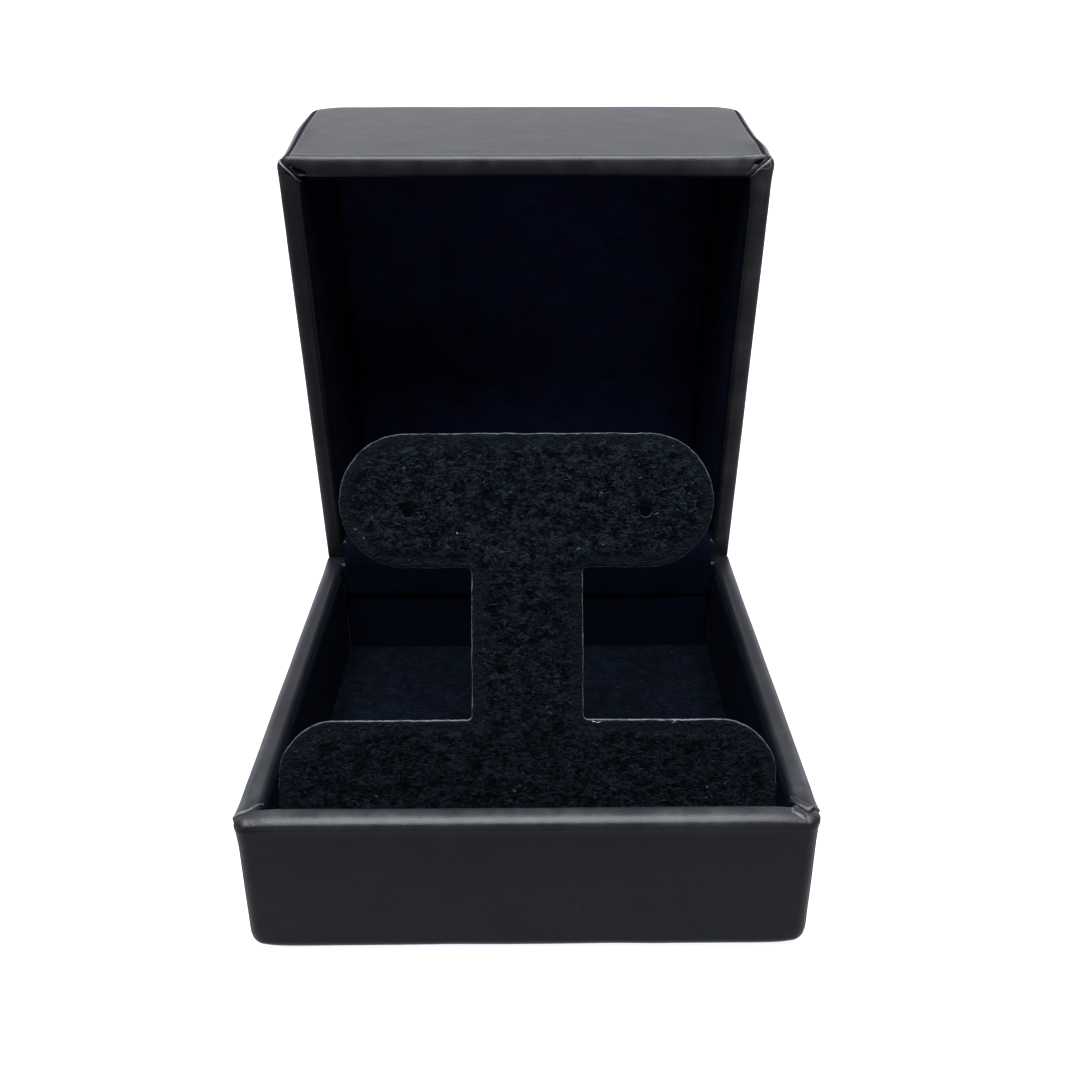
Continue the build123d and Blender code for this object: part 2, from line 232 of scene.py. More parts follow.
def leatherette():
    m, nt, b = material("black_leatherette")
    L = nt.links
    v = coords(nt)
    # fine pebbled grain, cells about 0.3 mm
    cell = node(nt, "ShaderNodeTexVoronoi", feature="DISTANCE_TO_EDGE", Scale=2600.0)
    L.new(v, cell.inputs["Vector"])
    cr = ramp(nt, cell.outputs["Distance"], [(0.0, (0, 0, 0)), (0.20, (1, 1, 1))])
    fine = node(nt, "ShaderNodeTexNoise", Scale=5200.0, Detail=3.0, Roughness=0.6)
    L.new(v, fine.inputs["Vector"])
    broad = node(nt, "ShaderNodeTexNoise", Scale=170.0, Detail=4.0, Roughness=0.6)
    L.new(v, broad.inputs["Vector"])
    mid = node(nt, "ShaderNodeTexNoise", Scale=620.0, Detail=3.0, Roughness=0.6)
    L.new(v, mid.inputs["Vector"])
    grain = math_node(nt, "ADD", cr.outputs["Color"], fine.outputs["Fac"])
    bump = node(nt, "ShaderNodeBump", Strength=0.22, Distance=0.00004)
    L.new(grain, bump.inputs["Height"])
    bump2 = node(nt, "ShaderNodeBump", Strength=0.30, Distance=0.00010)
    L.new(mid.outputs["Fac"], bump2.inputs["Height"])
    L.new(bump.outputs["Normal"], bump2.inputs["Normal"])
    bump3 = node(nt, "ShaderNodeBump", Strength=0.22, Distance=0.00014)
    L.new(broad.outputs["Fac"], bump3.inputs["Height"])
    L.new(bump2.outputs["Normal"], bump3.inputs["Normal"])
    L.new(bump3.outputs["Normal"], b.inputs["Normal"])
    # near black, a little lighter on rubbed edges and with a painted highlight along the front rims, painted highlights
    # on the flaps' lips, black in the seams with painted shade along the folds
    col = ramp(
        nt, broad.outputs["Fac"],
        [(0.3, (0.0011, 0.0012, 0.0019)), (0.7, (0.0017, 0.0019, 0.0027))],
    )
    attr = {k: node(nt, "ShaderNodeAttribute", attribute_name=k) for k in ("wear_and_highlight", "seam_and_shade", "lip_highlight")}
    # rubbed edges, and a painted highlight: the rims are painted lighter where the top light would catch them
    rub_and_highlight = math_node(nt, "MULTIPLY", attr["wear_and_highlight"].outputs["Fac"], mid.outputs["Fac"])
    c = mix_rgb(nt, rub_and_highlight, col.outputs["Color"], (0.026, 0.027, 0.0295))
    # painted highlight on the raised lips of the folded flaps, as if catching the light
    lip_highlight = math_node(nt, "MULTIPLY", attr["lip_highlight"].outputs["Fac"], mid.outputs["Fac"])
    c = mix_rgb(nt, lip_highlight, c, (0.13, 0.13, 0.135))
    # black joints between the flaps, with painted shade under the fold steps, in the sunk patches, in the upright
    # corner gaps and on the folded lower corners
    c = mix_rgb(nt, attr["seam_and_shade"].outputs["Fac"], c, (0.0010, 0.0010, 0.0014))
    # sparse pale dust
    dust = node(nt, "ShaderNodeTexVoronoi", feature="F1", Scale=430.0)
    L.new(v, dust.inputs["Vector"])
    dr = ramp(nt, dust.outputs["Distance"], [(0.0, (1, 1, 1)), (0.045, (0, 0, 0))])
    pick = node(nt, "ShaderNodeTexNoise", Scale=90.0, Detail=2.0)
    L.new(v, pick.inputs["Vector"])
    pr = ramp(nt, pick.outputs["Fac"], [(0.60, (0, 0, 0)), (0.66, (1, 1, 1))])
    dm = math_node(nt, "MULTIPLY", dr.outputs["Color"], pr.outputs["Color"])
    c = mix_rgb(nt, dm, c, (0.07, 0.07, 0.074))
    L.new(c, b.inputs["Base Color"])
    # satin, broken up by the grain and by handling; seams are dull
    rr = ramp(nt, broad.outputs["Fac"], [(0.3, (0.335,) * 3), (0.7, (0.375,) * 3)])
    dull = math_node(nt, "MULTIPLY", attr["seam_and_shade"].outputs["Fac"], 0.6)
    rough = math_node(nt, "ADD", rr.outputs["Color"], dull)
    L.new(rough, b.inputs["Roughness"])
    lit = math_node(nt, "SUBTRACT", 1.0, attr["seam_and_shade"].outputs["Fac"])
    b.inputs["Specular IOR Level"].default_value = 0.078
    L.new(math_node(nt, "MULTIPLY", lit, 0.078), b.inputs["Specular IOR Level"])
    b.inputs["IOR"].default_value = 1.5
    return m


def velvet(name, base, tip, glint, clump, streak, sheen=0.10, bump_d=0.0003, press=True, contrast=1.0, tint=1.0, dim=False):
    """Flocked pile: dark roots, paler tips in clumps, soft sheen at a glancing angle."""
    m, nt, b = material(name)
    L = nt.links
    v = coords(nt, streak)
    warp = node(nt, "ShaderNodeTexNoise", Scale=clump * 0.35, Detail=2.0)
    L.new(v, warp.inputs["Vector"])
    wv = nt.nodes.new("ShaderNodeVectorMath")
    wv.operation = "MULTIPLY_ADD"
    L.new(warp.outputs["Color"], wv.inputs[0])
    wv.inputs[1].default_value = (0.0012, 0.0012, 0.0012)
    L.new(v, wv.inputs[2])
    vv = wv.outputs[0]
    a = node(nt, "ShaderNodeTexNoise", Scale=clump, Detail=5.0, Roughness=0.70)
    L.new(vv, a.inputs["Vector"])
    f = node(nt, "ShaderNodeTexNoise", Scale=clump * 2.7, Detail=3.0, Roughness=0.7)
    L.new(vv, f.inputs["Vector"])
    big = node(nt, "ShaderNodeTexNoise", Scale=clump * 0.10, Detail=2.0)
    L.new(v, big.inputs["Vector"])
    h = math_node(nt, "MULTIPLY", a.outputs["Fac"], f.outputs["Fac"])
    mid = tuple(0.72 * x + 0.28 * y for x, y in zip(base, tip))
    w = 0.10 / contrast
    col = ramp(nt, h, [(0.25 - w, base), (0.25, mid), (0.25 + w, tip)])
    bigr = ramp(nt, big.outputs["Fac"], [(0.3, (0.76 if dim else 0.55,) * 3), (0.7, (0.96 if dim else 1.0,) * 3)])
    c = mix_rgb(nt, 1.0, col.outputs["Color"], bigr.outputs["Color"], "MULTIPLY")
    hue = node(nt, "ShaderNodeTexNoise", Scale=clump * 0.16, Detail=2.0)
    L.new(v, hue.inputs["Vector"])
    tr = ramp(nt, hue.outputs["Fac"], [(0.38, (1.0, 0.74, 0.86)), (0.62, (0.74, 0.88, 0.84))])
    tr = mix_rgb(nt, tint, (0.87, 0.81, 0.85), tr.outputs["Color"])
    c = mix_rgb(nt, 1.0, c, tr, "MULTIPLY")
    # painted shade from the card's dim attribute, darker towards its foot
    if dim:
        shade = node(nt, "ShaderNodeAttribute", attribute_name="dim")
        c = mix_rgb(nt, 1.0, c, shade.outputs["Color"], "MULTIPLY")
    # painted glints: pale fibre ends, as if catching the light
    sp = node(nt, "ShaderNodeTexVoronoi", feature="F1", Scale=clump * 0.9)
    L.new(vv, sp.inputs["Vector"])
    sr = ramp(nt, sp.outputs["Distance"], [(0.0, (1, 1, 1)), (0.16, (0, 0, 0))])
    pk = node(nt, "ShaderNodeTexNoise", Scale=clump * 0.35, Detail=2.0)
    L.new(v, pk.inputs["Vector"])
    kr = ramp(nt, pk.outputs["Fac"], [(0.54, (0, 0, 0)), (0.64, (1, 1, 1))])
    km = math_node(nt, "MULTIPLY", sr.outputs["Color"], kr.outputs["Color"])
    c = mix_rgb(nt, km, c, glint)
    hh = math_node(nt, "MULTIPLY", h, 4.0)
    bump = node(nt, "ShaderNodeBump", Strength=1.0, Distance=bump_d)
    L.new(hh, bump.inputs["Height"])
    if press:
        band = node(nt, "ShaderNodeAttribute", attribute_name="band")
        c = mix_rgb(nt, math_node(nt, "MULTIPLY", band.outputs["Fac"], 0.7), c, mid)
    # painted shade: darker along the far edge of the velvet sheets, the liners' tops under the rim and the floor
    # panel's rear
    edge_shade = node(nt, "ShaderNodeAttribute", attribute_name="edge_shade")
    c = mix_rgb(nt, math_node(nt, "MULTIPLY", edge_shade.outputs["Fac"], 0.85), c, tuple(0.2 * k for k in base))
    L.new(c, b.inputs["Base Color"])
    L.new(bump.outputs["Normal"], b.inputs["Normal"])
    b.inputs["Roughness"].default_value = 1.0
    b.inputs["Specular IOR Level"].default_value = 0.012
    b.inputs["Sheen Weight"].default_value = sheen
    b.inputs["Sheen Roughness"].default_value = 0.45
    b.inputs["Sheen Tint"].default_value = (0.30, 0.48, 0.85, 1)
    return m


def pile_tips():
    """Single fibres: each has its own tone, from nearly black to a few that catch the light."""
    m, nt, b = material("velvet_pile_tips")
    tone = node(nt, "ShaderNodeAttribute", attribute_name="tone")
    n = node(nt, "ShaderNodeTexNoise", Scale=2600.0, Detail=2.0)
    nt.links.new(coords(nt), n.inputs["Vector"])
    f = math_node(nt, "MULTIPLY", tone.outputs["Fac"], math_node(nt, "ADD", n.outputs["Fac"], 0.5))
    c = ramp(nt, f, [(0.0, (0.0002, 0.0004, 0.0009)), (0.40, (0.0026, 0.0042, 0.0066)), (0.75, (0.0110, 0.0145, 0.0200)), (0.95, (0.034, 0.040, 0.050)), (1.0, (0.10, 0.11, 0.125))])
    nt.links.new(c.outputs["Color"], b.inputs["Base Color"])
    b.inputs["Roughness"].default_value = 0.8
    b.inputs["Specular IOR Level"].default_value = 0.03
    return m


def plastic(name, c, rough=0.55):
    m, nt, b = material(name)
    L = nt.links
    v = coords(nt)
    n = node(nt, "ShaderNodeTexNoise", Scale=900.0, Detail=4.0, Roughness=0.6)
    L.new(v, n.inputs["Vector"])
    col = ramp(nt, n.outputs["Fac"], [(0.3, tuple(0.8 * x for x in c)), (0.7, tuple(1.15 * x for x in c))])
    L.new(col.outputs["Color"], b.inputs["Base Color"])
    rr = ramp(nt, n.outputs["Fac"], [(0.3, (rough - 0.06,) * 3), (0.7, (rough + 0.06,) * 3)])
    L.new(rr.outputs["Color"], b.inputs["Roughness"])
    bump = node(nt, "ShaderNodeBump", Strength=0.2, Distance=0.00003)
    L.new(n.outputs["Fac"], bump.inputs["Height"])
    L.new(bump.outputs["Normal"], b.inputs["Normal"])
    return m


def board(name, c):
    m, nt, b = material(name)
    L = nt.links
    v = coords(nt, (1, 1, 6))
    n = node(nt, "ShaderNodeTexNoise", Scale=1500.0, Detail=5.0, Roughness=0.7)
    L.new(v, n.inputs["Vector"])
    col = ramp(nt, n.outputs["Fac"], [(0.3, tuple(0.75 * x for x in c)), (0.7, tuple(1.1 * x for x in c))])
    L.new(col.outputs["Color"], b.inputs["Base Color"])
    b.inputs["Roughness"].default_value = 0.9
    bump = node(nt, "ShaderNodeBump", Strength=0.4, Distance=0.00005)
    L.new(n.outputs["Fac"], bump.inputs["Height"])
    L.new(bump.outputs["Normal"], b.inputs["Normal"])
    return m


def cut_card():
    """Dark board; the crushed cut edge shows the pale board in broken patches, with a painted highlight that sets how
    pale it shows along the outline.
    """
    m, nt, b = material("card_cut_edge")
    v = coords(nt)
    n = node(nt, "ShaderNodeTexNoise", Scale=900.0, Detail=4.0, Roughness=0.7)
    nt.links.new(v, n.inputs["Vector"])
    e = node(nt, "ShaderNodeAttribute", attribute_name="edge")
    r = ramp(nt, n.outputs["Fac"], [(0.36, (0.05, 0.05, 0.05)), (0.60, (1, 1, 1))])
    f = math_node(nt, "MULTIPLY", e.outputs["Fac"], r.outputs["Color"])
    c = mix_rgb(nt, f, (0.003, 0.004, 0.006), (0.085, 0.092, 0.10))
    nt.links.new(c, b.inputs["Base Color"])
    b.inputs["Roughness"].default_value = 0.8
    b.inputs["Specular IOR Level"].default_value = 0.2
    return m


def steel():
    m, nt, b = material("plated_steel")
    L = nt.links
    v = coords(nt, (0.05, 1, 1))
    n = node(nt, "ShaderNodeTexNoise", Scale=9000.0, Detail=3.0, Roughness=0.6)
    L.new(v, n.inputs["Vector"])
    col = ramp(nt, n.outputs["Fac"], [(0.3, (0.42, 0.41, 0.39)), (0.7, (0.58, 0.57, 0.55))])
    L.new(col.outputs["Color"], b.inputs["Base Color"])
    rr = ramp(nt, n.outputs["Fac"], [(0.3, (0.22,) * 3), (0.7, (0.38,) * 3)])
    L.new(rr.outputs["Color"], b.inputs["Roughness"])
    b.inputs["Metallic"].default_value = 1.0
    bump = node(nt, "ShaderNodeBump", Strength=0.15, Distance=0.00002)
    L.new(n.outputs["Fac"], bump.inputs["Height"])
    L.new(bump.outputs["Normal"], b.inputs["Normal"])
    return m


M_LEATHER = leatherette()
# one lining velvet in lit and shaded copies: the lid's lining and pad painted lighter, its sides less so, its flap
# painted darker than the base's lining
M_VELVET = velvet("velvet_lining", (0.0003, 0.0008, 0.0028), (0.0009, 0.0020, 0.0068), (0.0022, 0.0035, 0.0090), 1900.0, (1, 1, 1), sheen=0.006)
M_VELVET_LID_LIT = velvet("velvet_lid_lining_painted_lighter", (0.0044, 0.0058, 0.0190), (0.0125, 0.0160, 0.0500), (0.016, 0.020, 0.056), 1900.0, (1, 1, 1), sheen=0.008)
M_VELVET_SIDE_LIT = velvet("velvet_lid_sides_painted_lighter", (0.0018, 0.0024, 0.0080), (0.0052, 0.0068, 0.0210), (0.007, 0.009, 0.025), 1900.0, (1, 1, 1), sheen=0.006)
M_VELVET_FLAP_SHADED = velvet("velvet_lid_flap_painted_darker", (0.0002, 0.0004, 0.0011), (0.0004, 0.0008, 0.0024), (0.0008, 0.0013, 0.0032), 1900.0, (1, 1, 1), sheen=0.002)
M_CARD = velvet("velvet_card", (0.00008, 0.00013, 0.0003), (0.0058, 0.0088, 0.0126), (0.026, 0.033, 0.040), 700.0, (0.85, 1, 1), sheen=0.006, bump_d=0.0008, contrast=1.65, tint=0.5, dim=True)
M_FLOOR_V = velvet("velvet_floor", (0.0003, 0.0005, 0.0013), (0.0012, 0.0021, 0.0040), (0.004, 0.0055, 0.009), 500.0, (0.9, 1, 1), sheen=0.006, bump_d=0.0002, contrast=1.0)
M_PILE = pile_tips()
M_PLASTIC = plastic("moulded_carcass", (0.022, 0.022, 0.023))
M_SHEET = plastic("bottom_sheet_leatherette", (0.014, 0.014, 0.015), 0.7)
M_BOARD = board("greyboard", (0.33, 0.32, 0.30))
M_CORE = cut_card()
M_LINT = plastic("lint", (0.62, 0.63, 0.66), 0.8)
M_STEEL = steel()


# ---------------------------------------------------------------------------
# wrapped shell skins: one profile carried round the rounded rectangle
# ---------------------------------------------------------------------------
NEAR = [0.05, 0.10, 0.16, 0.22, 0.29, 0.36, 0.44, 0.52, 0.61, 0.70, 0.80, 0.91, 1.03, 1.16, 1.3, 1.46,
        1.64, 1.85, 2.1, 2.4, 2.75, 3.2, 3.8, 4.6, 5.6, 7.0, 8.8, 11.0]
N_ARC = 40
SIDE_DIR = [(1, 0), (0, 1), (-1, 0), (0, -1)]      # front, right, back, left
SIDE_OUT = [(0, -1), (1, 0), (0, 1), (-1, 0)]


def stations():
    """(on a line?, side, share): lines run corner to corner, arcs turn the corner after them."""
    out = []
    for side in range(4):
        length = (W if side % 2 == 0 else D) - 2 * 1.7
        mid = list(np.arange(12.5, length - 12.5, 1.5))
        pos = [0.0] + NEAR + mid + [length - x for x in reversed(NEAR)]
        out += [(True, side, s / length) for s in pos]
        out += [(False, side, k / N_ARC) for k in range(N_ARC)]
    return out


ST = stations()
N_ST = len(ST)


def hinge_share():
    """0 on the front and sides, 1 along the hinge, easing in over the last 6 mm of each side."""
    w = np.zeros(N_ST)
    for i, (line, side, t) in enumerate(ST):
        if side == 2 or (not line and side == 1):
            w[i] = 1.0
        elif side == 1:
            w[i] = smooth(t * D, D - 5.6, D)
        elif side == 3 and line:
            w[i] = 1 - smooth(t * D, 0.0, 5.6)
    # the corner that closes the back is the arc of side 2
    return w


HINGE = hinge_share()


def ring_row(dvec):
    """x, y, outward x, outward y, corner, signed distance from the mitre (+ on the side walls)."""
    dvec = np.broadcast_to(np.asarray(dvec, float), (N_ST,))
    res = np.zeros((N_ST, 6))
    for i, (line, side, t) in enumerate(ST):
        d = dvec[i]
        hx, hy = W / 2 - d, D / 2 - d
        ux, uy = SIDE_DIR[side]
        ox, oy = SIDE_OUT[side]
        c0, c1 = (side + 3) % 4, side
        r0 = max(R_CORNER[c0] - d, 0.3 if R_CORNER[c0] > 1 else 0.15)
        r1 = max(R_CORNER[c1] - d, 0.3 if R_CORNER[c1] > 1 else 0.15)
        half, face = (hx, hy) if side % 2 == 0 else (hy, hx)
        on_x = side % 2 == 1
        if line:
            a, b = -half + r0, half - r1
            s = a + (b - a) * t
            x, y = ux * s + ox * face, uy * s + oy * face
            if s - a < b - s:
                corner, dist = c0, (s - a) + r0 * math.pi / 4
            else:
                corner, dist = c1, (b - s) + r1 * math.pi / 4
            res[i] = (x, y, ox, oy, corner, dist if on_x else -dist)
        else:
            cx = ux * (half - r1) + ox * (face - r1)
            cy = uy * (half - r1) + oy * (face - r1)
            th = t * math.pi / 2
            dx = ox * math.cos(th) + ux * math.sin(th)
            dy = oy * math.cos(th) + uy * math.sin(th)
            m = r1 * (th - math.pi / 4)
            res[i] = (cx + r1 * dx, cy + r1 * dy, dx, dy, c1, -m if on_x else m)
    return res


def arc_pts(cd, cz, r, a0, a1, n, first=True):
    """Points of an arc in (d, z); angle 0 points outwards (-d), 90 up."""
    out = []
    for k in range(0 if first else 1, n + 1):
        a = math.radians(a0 + (a1 - a0) * k / n)
        out.append((cd - r * math.cos(a), cz + r * math.sin(a)))
    return out


TURN_D = WRAP + WALL + TURN_IN


def half_profile(end, rim, r_end, under, r_rim):
    """Outer skin from the closed end, up the wall, over the rim and down inside, then the hidden side back."""
    p = []
    if under:
        p += [(9.0, end), (6.0, end), (4.2, end), (3.2, end)]
    p += [(r_end, end)]
    p += arc_pts(r_end, end + r_end, r_end, -90, 0, 14, False)
    z_top = rim - R_RIM
    low = list(np.linspace(end + r_end, z_top - 3.0, 22))[1:]
    high = [z_top - x for x in (2.7, 2.4, 2.1, 1.85, 1.6, 1.4, 1.2, 1.05, 0.9, 0.75, 0.6, 0.45, 0.3, 0.15, 0.0)]
    p += [(0.0, z) for z in low]
    # the hinge side keeps the same rows, run up to its own tighter edge
    lift = (R_RIM - r_rim)
    p += [(0.0, z + lift * smooth(z, z_top - 3.0, z_top)) for z in high]
    k_wall_end = len(p) - 1
    deep = R_RIM_DEEP if r_rim > 0.5 else r_rim
    for k in range(1, 23):
        a = math.radians(90 * k / 22)
        p.append((deep * (1 - math.cos(a)), rim - r_rim + r_rim * math.sin(a)))
    flat_to = TURN_D - R_RIM_IN
    p += [(deep + (flat_to - deep) * f / 8, rim) for f in range(1, 9)]
    p += arc_pts(flat_to, rim - R_RIM_IN, R_RIM_IN, 90, 180, 8, False)
    k_in = len(p) - 1
    p += [(TURN_D, rim - R_RIM_IN - s) for s in (0.25, 0.5, 0.9, 1.6, 2.6, 4.0, 6.0, TURN_DEPTH - R_RIM_IN)]
    k_end = len(p) - 1
    # hidden side, back to the start
    p += [(TURN_D - TURN_IN, rim - TURN_DEPTH), (TURN_D - TURN_IN, rim - WRAP)]
    p += [(max(r_rim, WRAP + 0.2), rim - WRAP)]
    rr = max(r_rim - WRAP, 0.2)
    p += arc_pts(WRAP + rr, rim - WRAP - rr, rr, 90, 0, 4, False)
    p += [(WRAP, end + r_end)]
    p += arc_pts(r_end, end + r_end, r_end - WRAP, 0, -90, 5, False)
    if under:
        p += [(9.0, end + WRAP)]
    return np.array(p), k_wall_end, k_in, k_end


def poly_distance(px, py, poly):
    """Signed distance to a small polygon, + inside."""
    best = np.full(len(px), 1e9)
    odd = np.zeros(len(px), bool)
    n = len(poly)
    for i in range(n):
        ax, ay = poly[i]
        bx, by = poly[(i + 1) % n]
        ex, ey = bx - ax, by - ay
        t = np.clip(((px - ax) * ex + (py - ay) * ey) / (ex * ex + ey * ey + 1e-12), 0, 1)
        best = np.minimum(best, np.hypot(px - ax - t * ex, py - ay - t * ey))
        cross = ((ay > py) != (by > py)) & (px < (bx - ax) * (py - ay) / (by - ay + 1e-15) + ax)
        odd ^= cross
    return np.where(odd, best, -best)


Q_MM = 4.1


def corner_style(line=((0, 0), (1, 0)), lift=0.14, width=1.3, sink=0.10, sink_w=0.9, groove=0.12, dark=1.0, lip_highlight=0.6,
                 upright=0.57, upright_w=0.41, upright_deep=0.02, upright_dark=0.78, upright_highlight=0.12, bulge=0.0, swell=None, patches=()):
    """How two flaps meet at a corner. a is mm from the mitre, + on the side wall; q runs 0..1 over the rim, outside in."""
    line = ((-1.0, line[0][1]),) + tuple(line) + ((2.0, line[-1][1]),)
    lq = [p[0] for p in line]
    la = [p[1] for p in line]

    def reach(a, q):
        """Distance in mm from the seam line, + on the side wall's flap."""
        best = np.full(len(a), 1e9)
        for (q0, a0), (q1, a1) in zip(line[:-1], line[1:]):
            ex, ey = a1 - a0, (q1 - q0) * Q_MM
            t = np.clip(((a - a0) * ex + (q - q0) * Q_MM * ey) / (ex * ex + ey * ey + 1e-12), 0, 1)
            best = np.minimum(best, np.hypot(a - a0 - t * ex, (q - q0) * Q_MM - t * ey))
        return np.where(a >= np.interp(q, lq, la), best, -best)

    def f(q, a, up, down):
        a = np.asarray(a, float)
        h = np.zeros_like(a)
        seam_and_shade = np.zeros_like(a)
        highlight = np.zeros_like(a)
        on_rim = float(smooth(q, -0.22, 0.02) * (1 - smooth(q, 1.3, 1.8)))
        if on_rim > 0:
            e = reach(a, q)
            over = smooth(e, -0.03, 0.05)
            h += on_rim * over * lift * np.exp(-np.maximum(e, 0) / width)
            h -= on_rim * (1 - over) * sink * np.exp(-np.maximum(-e, 0) / sink_w)
            h -= on_rim * groove * np.exp(-(((e + 0.09) / 0.08) ** 2))
            # painted shade in the groove under the fold's step
            seam_and_shade += on_rim * dark * np.exp(-(((e + 0.10) / 0.09) ** 2))
            # painted highlight along the raised flap's lip
            highlight += on_rim * lip_highlight * np.exp(-(((e - 0.07) / 0.07) ** 2))
            # sunk patches are painted dark as shade, raised ones carry a painted highlight
            for poly, ph, pdark, p_highlight in patches:
                sd = poly_distance(a, np.full_like(a, q * Q_MM), [(pa, pq * Q_MM) for pq, pa in poly])
                h += on_rim * ph * smooth(sd, -0.04, 0.16)
                seam_and_shade += on_rim * pdark * smooth(sd, -0.02, 0.12)
                highlight += on_rim * p_highlight * np.exp(-((sd / 0.07) ** 2))
        # upright seam below the rim, on the flank of the corner: a dark joint with its gap painted as shade, and a
        # painted highlight just inside it
        on_wall = float((1 - smooth(q, -0.12, 0.10)) * smooth(up, 0.9, 2.4))
        if on_wall > 0:
            g = a - upright
            edge = smooth(g, -upright_w - 0.10, -upright_w + 0.04) * (1 - smooth(g, upright_w - 0.02, upright_w + 0.12))
            h -= on_wall * upright_deep * edge
            h += on_wall * 0.035 * smooth(-g, upright_w, upright_w + 0.12) * np.exp(-np.maximum(-g - upright_w, 0) / 0.8)
            seam_and_shade += on_wall * upright_dark * edge
            highlight += on_wall * upright_highlight * np.exp(-(((g + upright_w + 0.16) / 0.09) ** 2))
        if bulge:
            h += bulge * math.exp(-(((down - 1.9) / 1.7) ** 2)) * np.exp(-((a / 3.0) ** 2))
        if swell:
            h += swell[0] * math.exp(-(((down - swell[1]) / swell[2]) ** 2)) * np.exp(-((a / 2.2) ** 2))
        return h, np.clip(seam_and_shade, 0, 1), np.clip(highlight, 0, 1)

    return f


def wrap_skin(name, end, rim, r_end, under, styles, seed, xf, crown=0.0, hem=0.0):
    side, k_wall, k_in, k_end = half_profile(end, rim, r_end, under, R_RIM)
    back, _, _, _ = half_profile(end, rim, r_end, under, R_RIM_BACK)
    P, S = len(side), N_ST

    def normals(pr):
        tang = np.gradient(pr[: k_end + 1], axis=0)
        nn = np.stack([tang[:, 1], tang[:, 0]], 1)        # d grows inwards
        return nn / np.maximum(np.linalg.norm(nn, axis=1), 1e-9)[:, None]

    n_side, n_back = normals(side), normals(back)
    seglen = np.r_[0, np.cumsum(np.linalg.norm(np.diff(side[: k_end + 1], axis=0), axis=1))]
    verts = np.zeros((P, S, 3))
    seam_and_shade, lip_highlight, wear_and_highlight = np.zeros((P, S)), np.zeros((P, S)), np.zeros((P, S))
    for i in range(P):
        d = side[i, 0] * (1 - HINGE) + back[i, 0] * HINGE
        zz = side[i, 1] * (1 - HINGE) + back[i, 1] * HINGE
        R = ring_row(d)
        x, y = R[:, 0].copy(), R[:, 1].copy()
        if i <= k_end:
            h = np.zeros(S)
            z0 = side[i, 1]
            q = (seglen[i] - seglen[k_wall]) / (seglen[k_in] - seglen[k_wall])
            for c in range(4):
                sel = R[:, 4] == c
                hh, mm, ll = styles[c](q, R[sel, 5], z0 - end, rim - z0)
                h[sel] += hh
                seam_and_shade[i, sel], lip_highlight[i, sel] = mm, ll
            # rounded bead standing a little proud, with a soft crease under it
            under_bead = math.exp(-(((rim - z0 - 1.06) / 0.15) ** 2)) if q <= 0.02 else 0.0
            proud = float(smooth(q, -0.40, -0.05) * (1 - smooth(q, 0.25, 0.6)))
            on_side = abs(R[:, 2])
            h += ((0.05 + 0.13 * on_side) * proud - 0.055 * under_bead) * (1 - HINGE)
            # the folded lower corners are rounder than the edges between them, and the seam mask darkens them
            low = float(1 - smooth(z0 - end, 0.6, 2.6 if under else 4.5))
            h -= (0.30 if under else 0.62) * low * np.exp(-((R[:, 5] / (1.9 if under else 2.6)) ** 2)) * (1 - HINGE)
            seam_and_shade[i] = np.maximum(seam_and_shade[i], (0.2 if under else 0.5) * low * np.exp(-((R[:, 5] / 2.4) ** 2)) * (1 - HINGE))
            pts = np.stack([x, y, zz], 1)
            calm = 1 - 0.85 * HINGE
            h += (0.030 * noise(pts, 9.0, seed) + 0.012 * noise(pts, 3.1, seed + 1) + 0.006 * noise(pts, 1.2, seed + 2)) * calm
            n = n_side[i][None] * (1 - HINGE)[:, None] + n_back[i][None] * HINGE[:, None]
            x += R[:, 2] * n[:, 0] * h
            y += R[:, 3] * n[:, 0] * h
            # the hem at the hinge corners is thick and stands back over the base
            if hem:
                near_rim = float(smooth(z0, rim - 2.2, rim - 0.7)) * (1 - smooth(d, 0.3, 1.6))
                y += hem * near_rim * smooth(y + d, D / 2 - 3.2, D / 2 - 0.4) * smooth(abs(x), 25.6, 27.5)
            zz = zz + n[:, 1] * h
            # rubbed rim edges, and a painted highlight: strongest on the base's front rim and on the lid's front and
            # right-hand rims
            edge = math.exp(-(((q - 0.35) / 0.45) ** 2)) if -0.4 < q < 1.2 else 0.0
            handled_and_lit = 0.20 + 0.75 * smooth(-x, 18.0, 34.0) + 0.5 * smooth(-y, 25.0, 33.0) if hem else 0.12 + 0.88 * smooth(-y, -6.0, 31.0)
            wear_and_highlight[i] = np.clip(edge * (0.55 + 0.45 * noise(pts, 2.2, seed + 5)), 0, 1) * 0.62 * handled_and_lit
        verts[i, :, 0], verts[i, :, 1], verts[i, :, 2] = x, y, zz
    # shut, the two rims meet in the gap: the rim sinks where its folds would stand above that, and keeps their relief
    over = np.maximum(verts[: k_end + 1, :, 2].max(0) - (rim + 0.03), 0)
    ring = ring_row(0.5)[:, :2]
    apart = np.hypot(ring[:, None, 0] - ring[None, :, 0], ring[:, None, 1] - ring[None, :, 1])
    widest = np.where(apart < 2.4, over[None, :], 0).max(1)
    spread = np.exp(-((apart / 1.2) ** 2))
    sink = np.maximum((spread @ widest) / spread.sum(1), over)
    verts[:, :, 2] -= sink[None, :] * smooth(verts[:, :, 2], rim - 1.7, rim - 0.3)
    flat = verts.reshape(-1, 3)
    faces = []
    for i in range(P if under else P - 1):
        a, b = i, (i + 1) % P
        for s in range(S):
            t = (s + 1) % S
            faces.append((a * S + s, a * S + t, b * S + t, b * S + s))
    vs = [flat]
    count = len(flat)
    if not under:
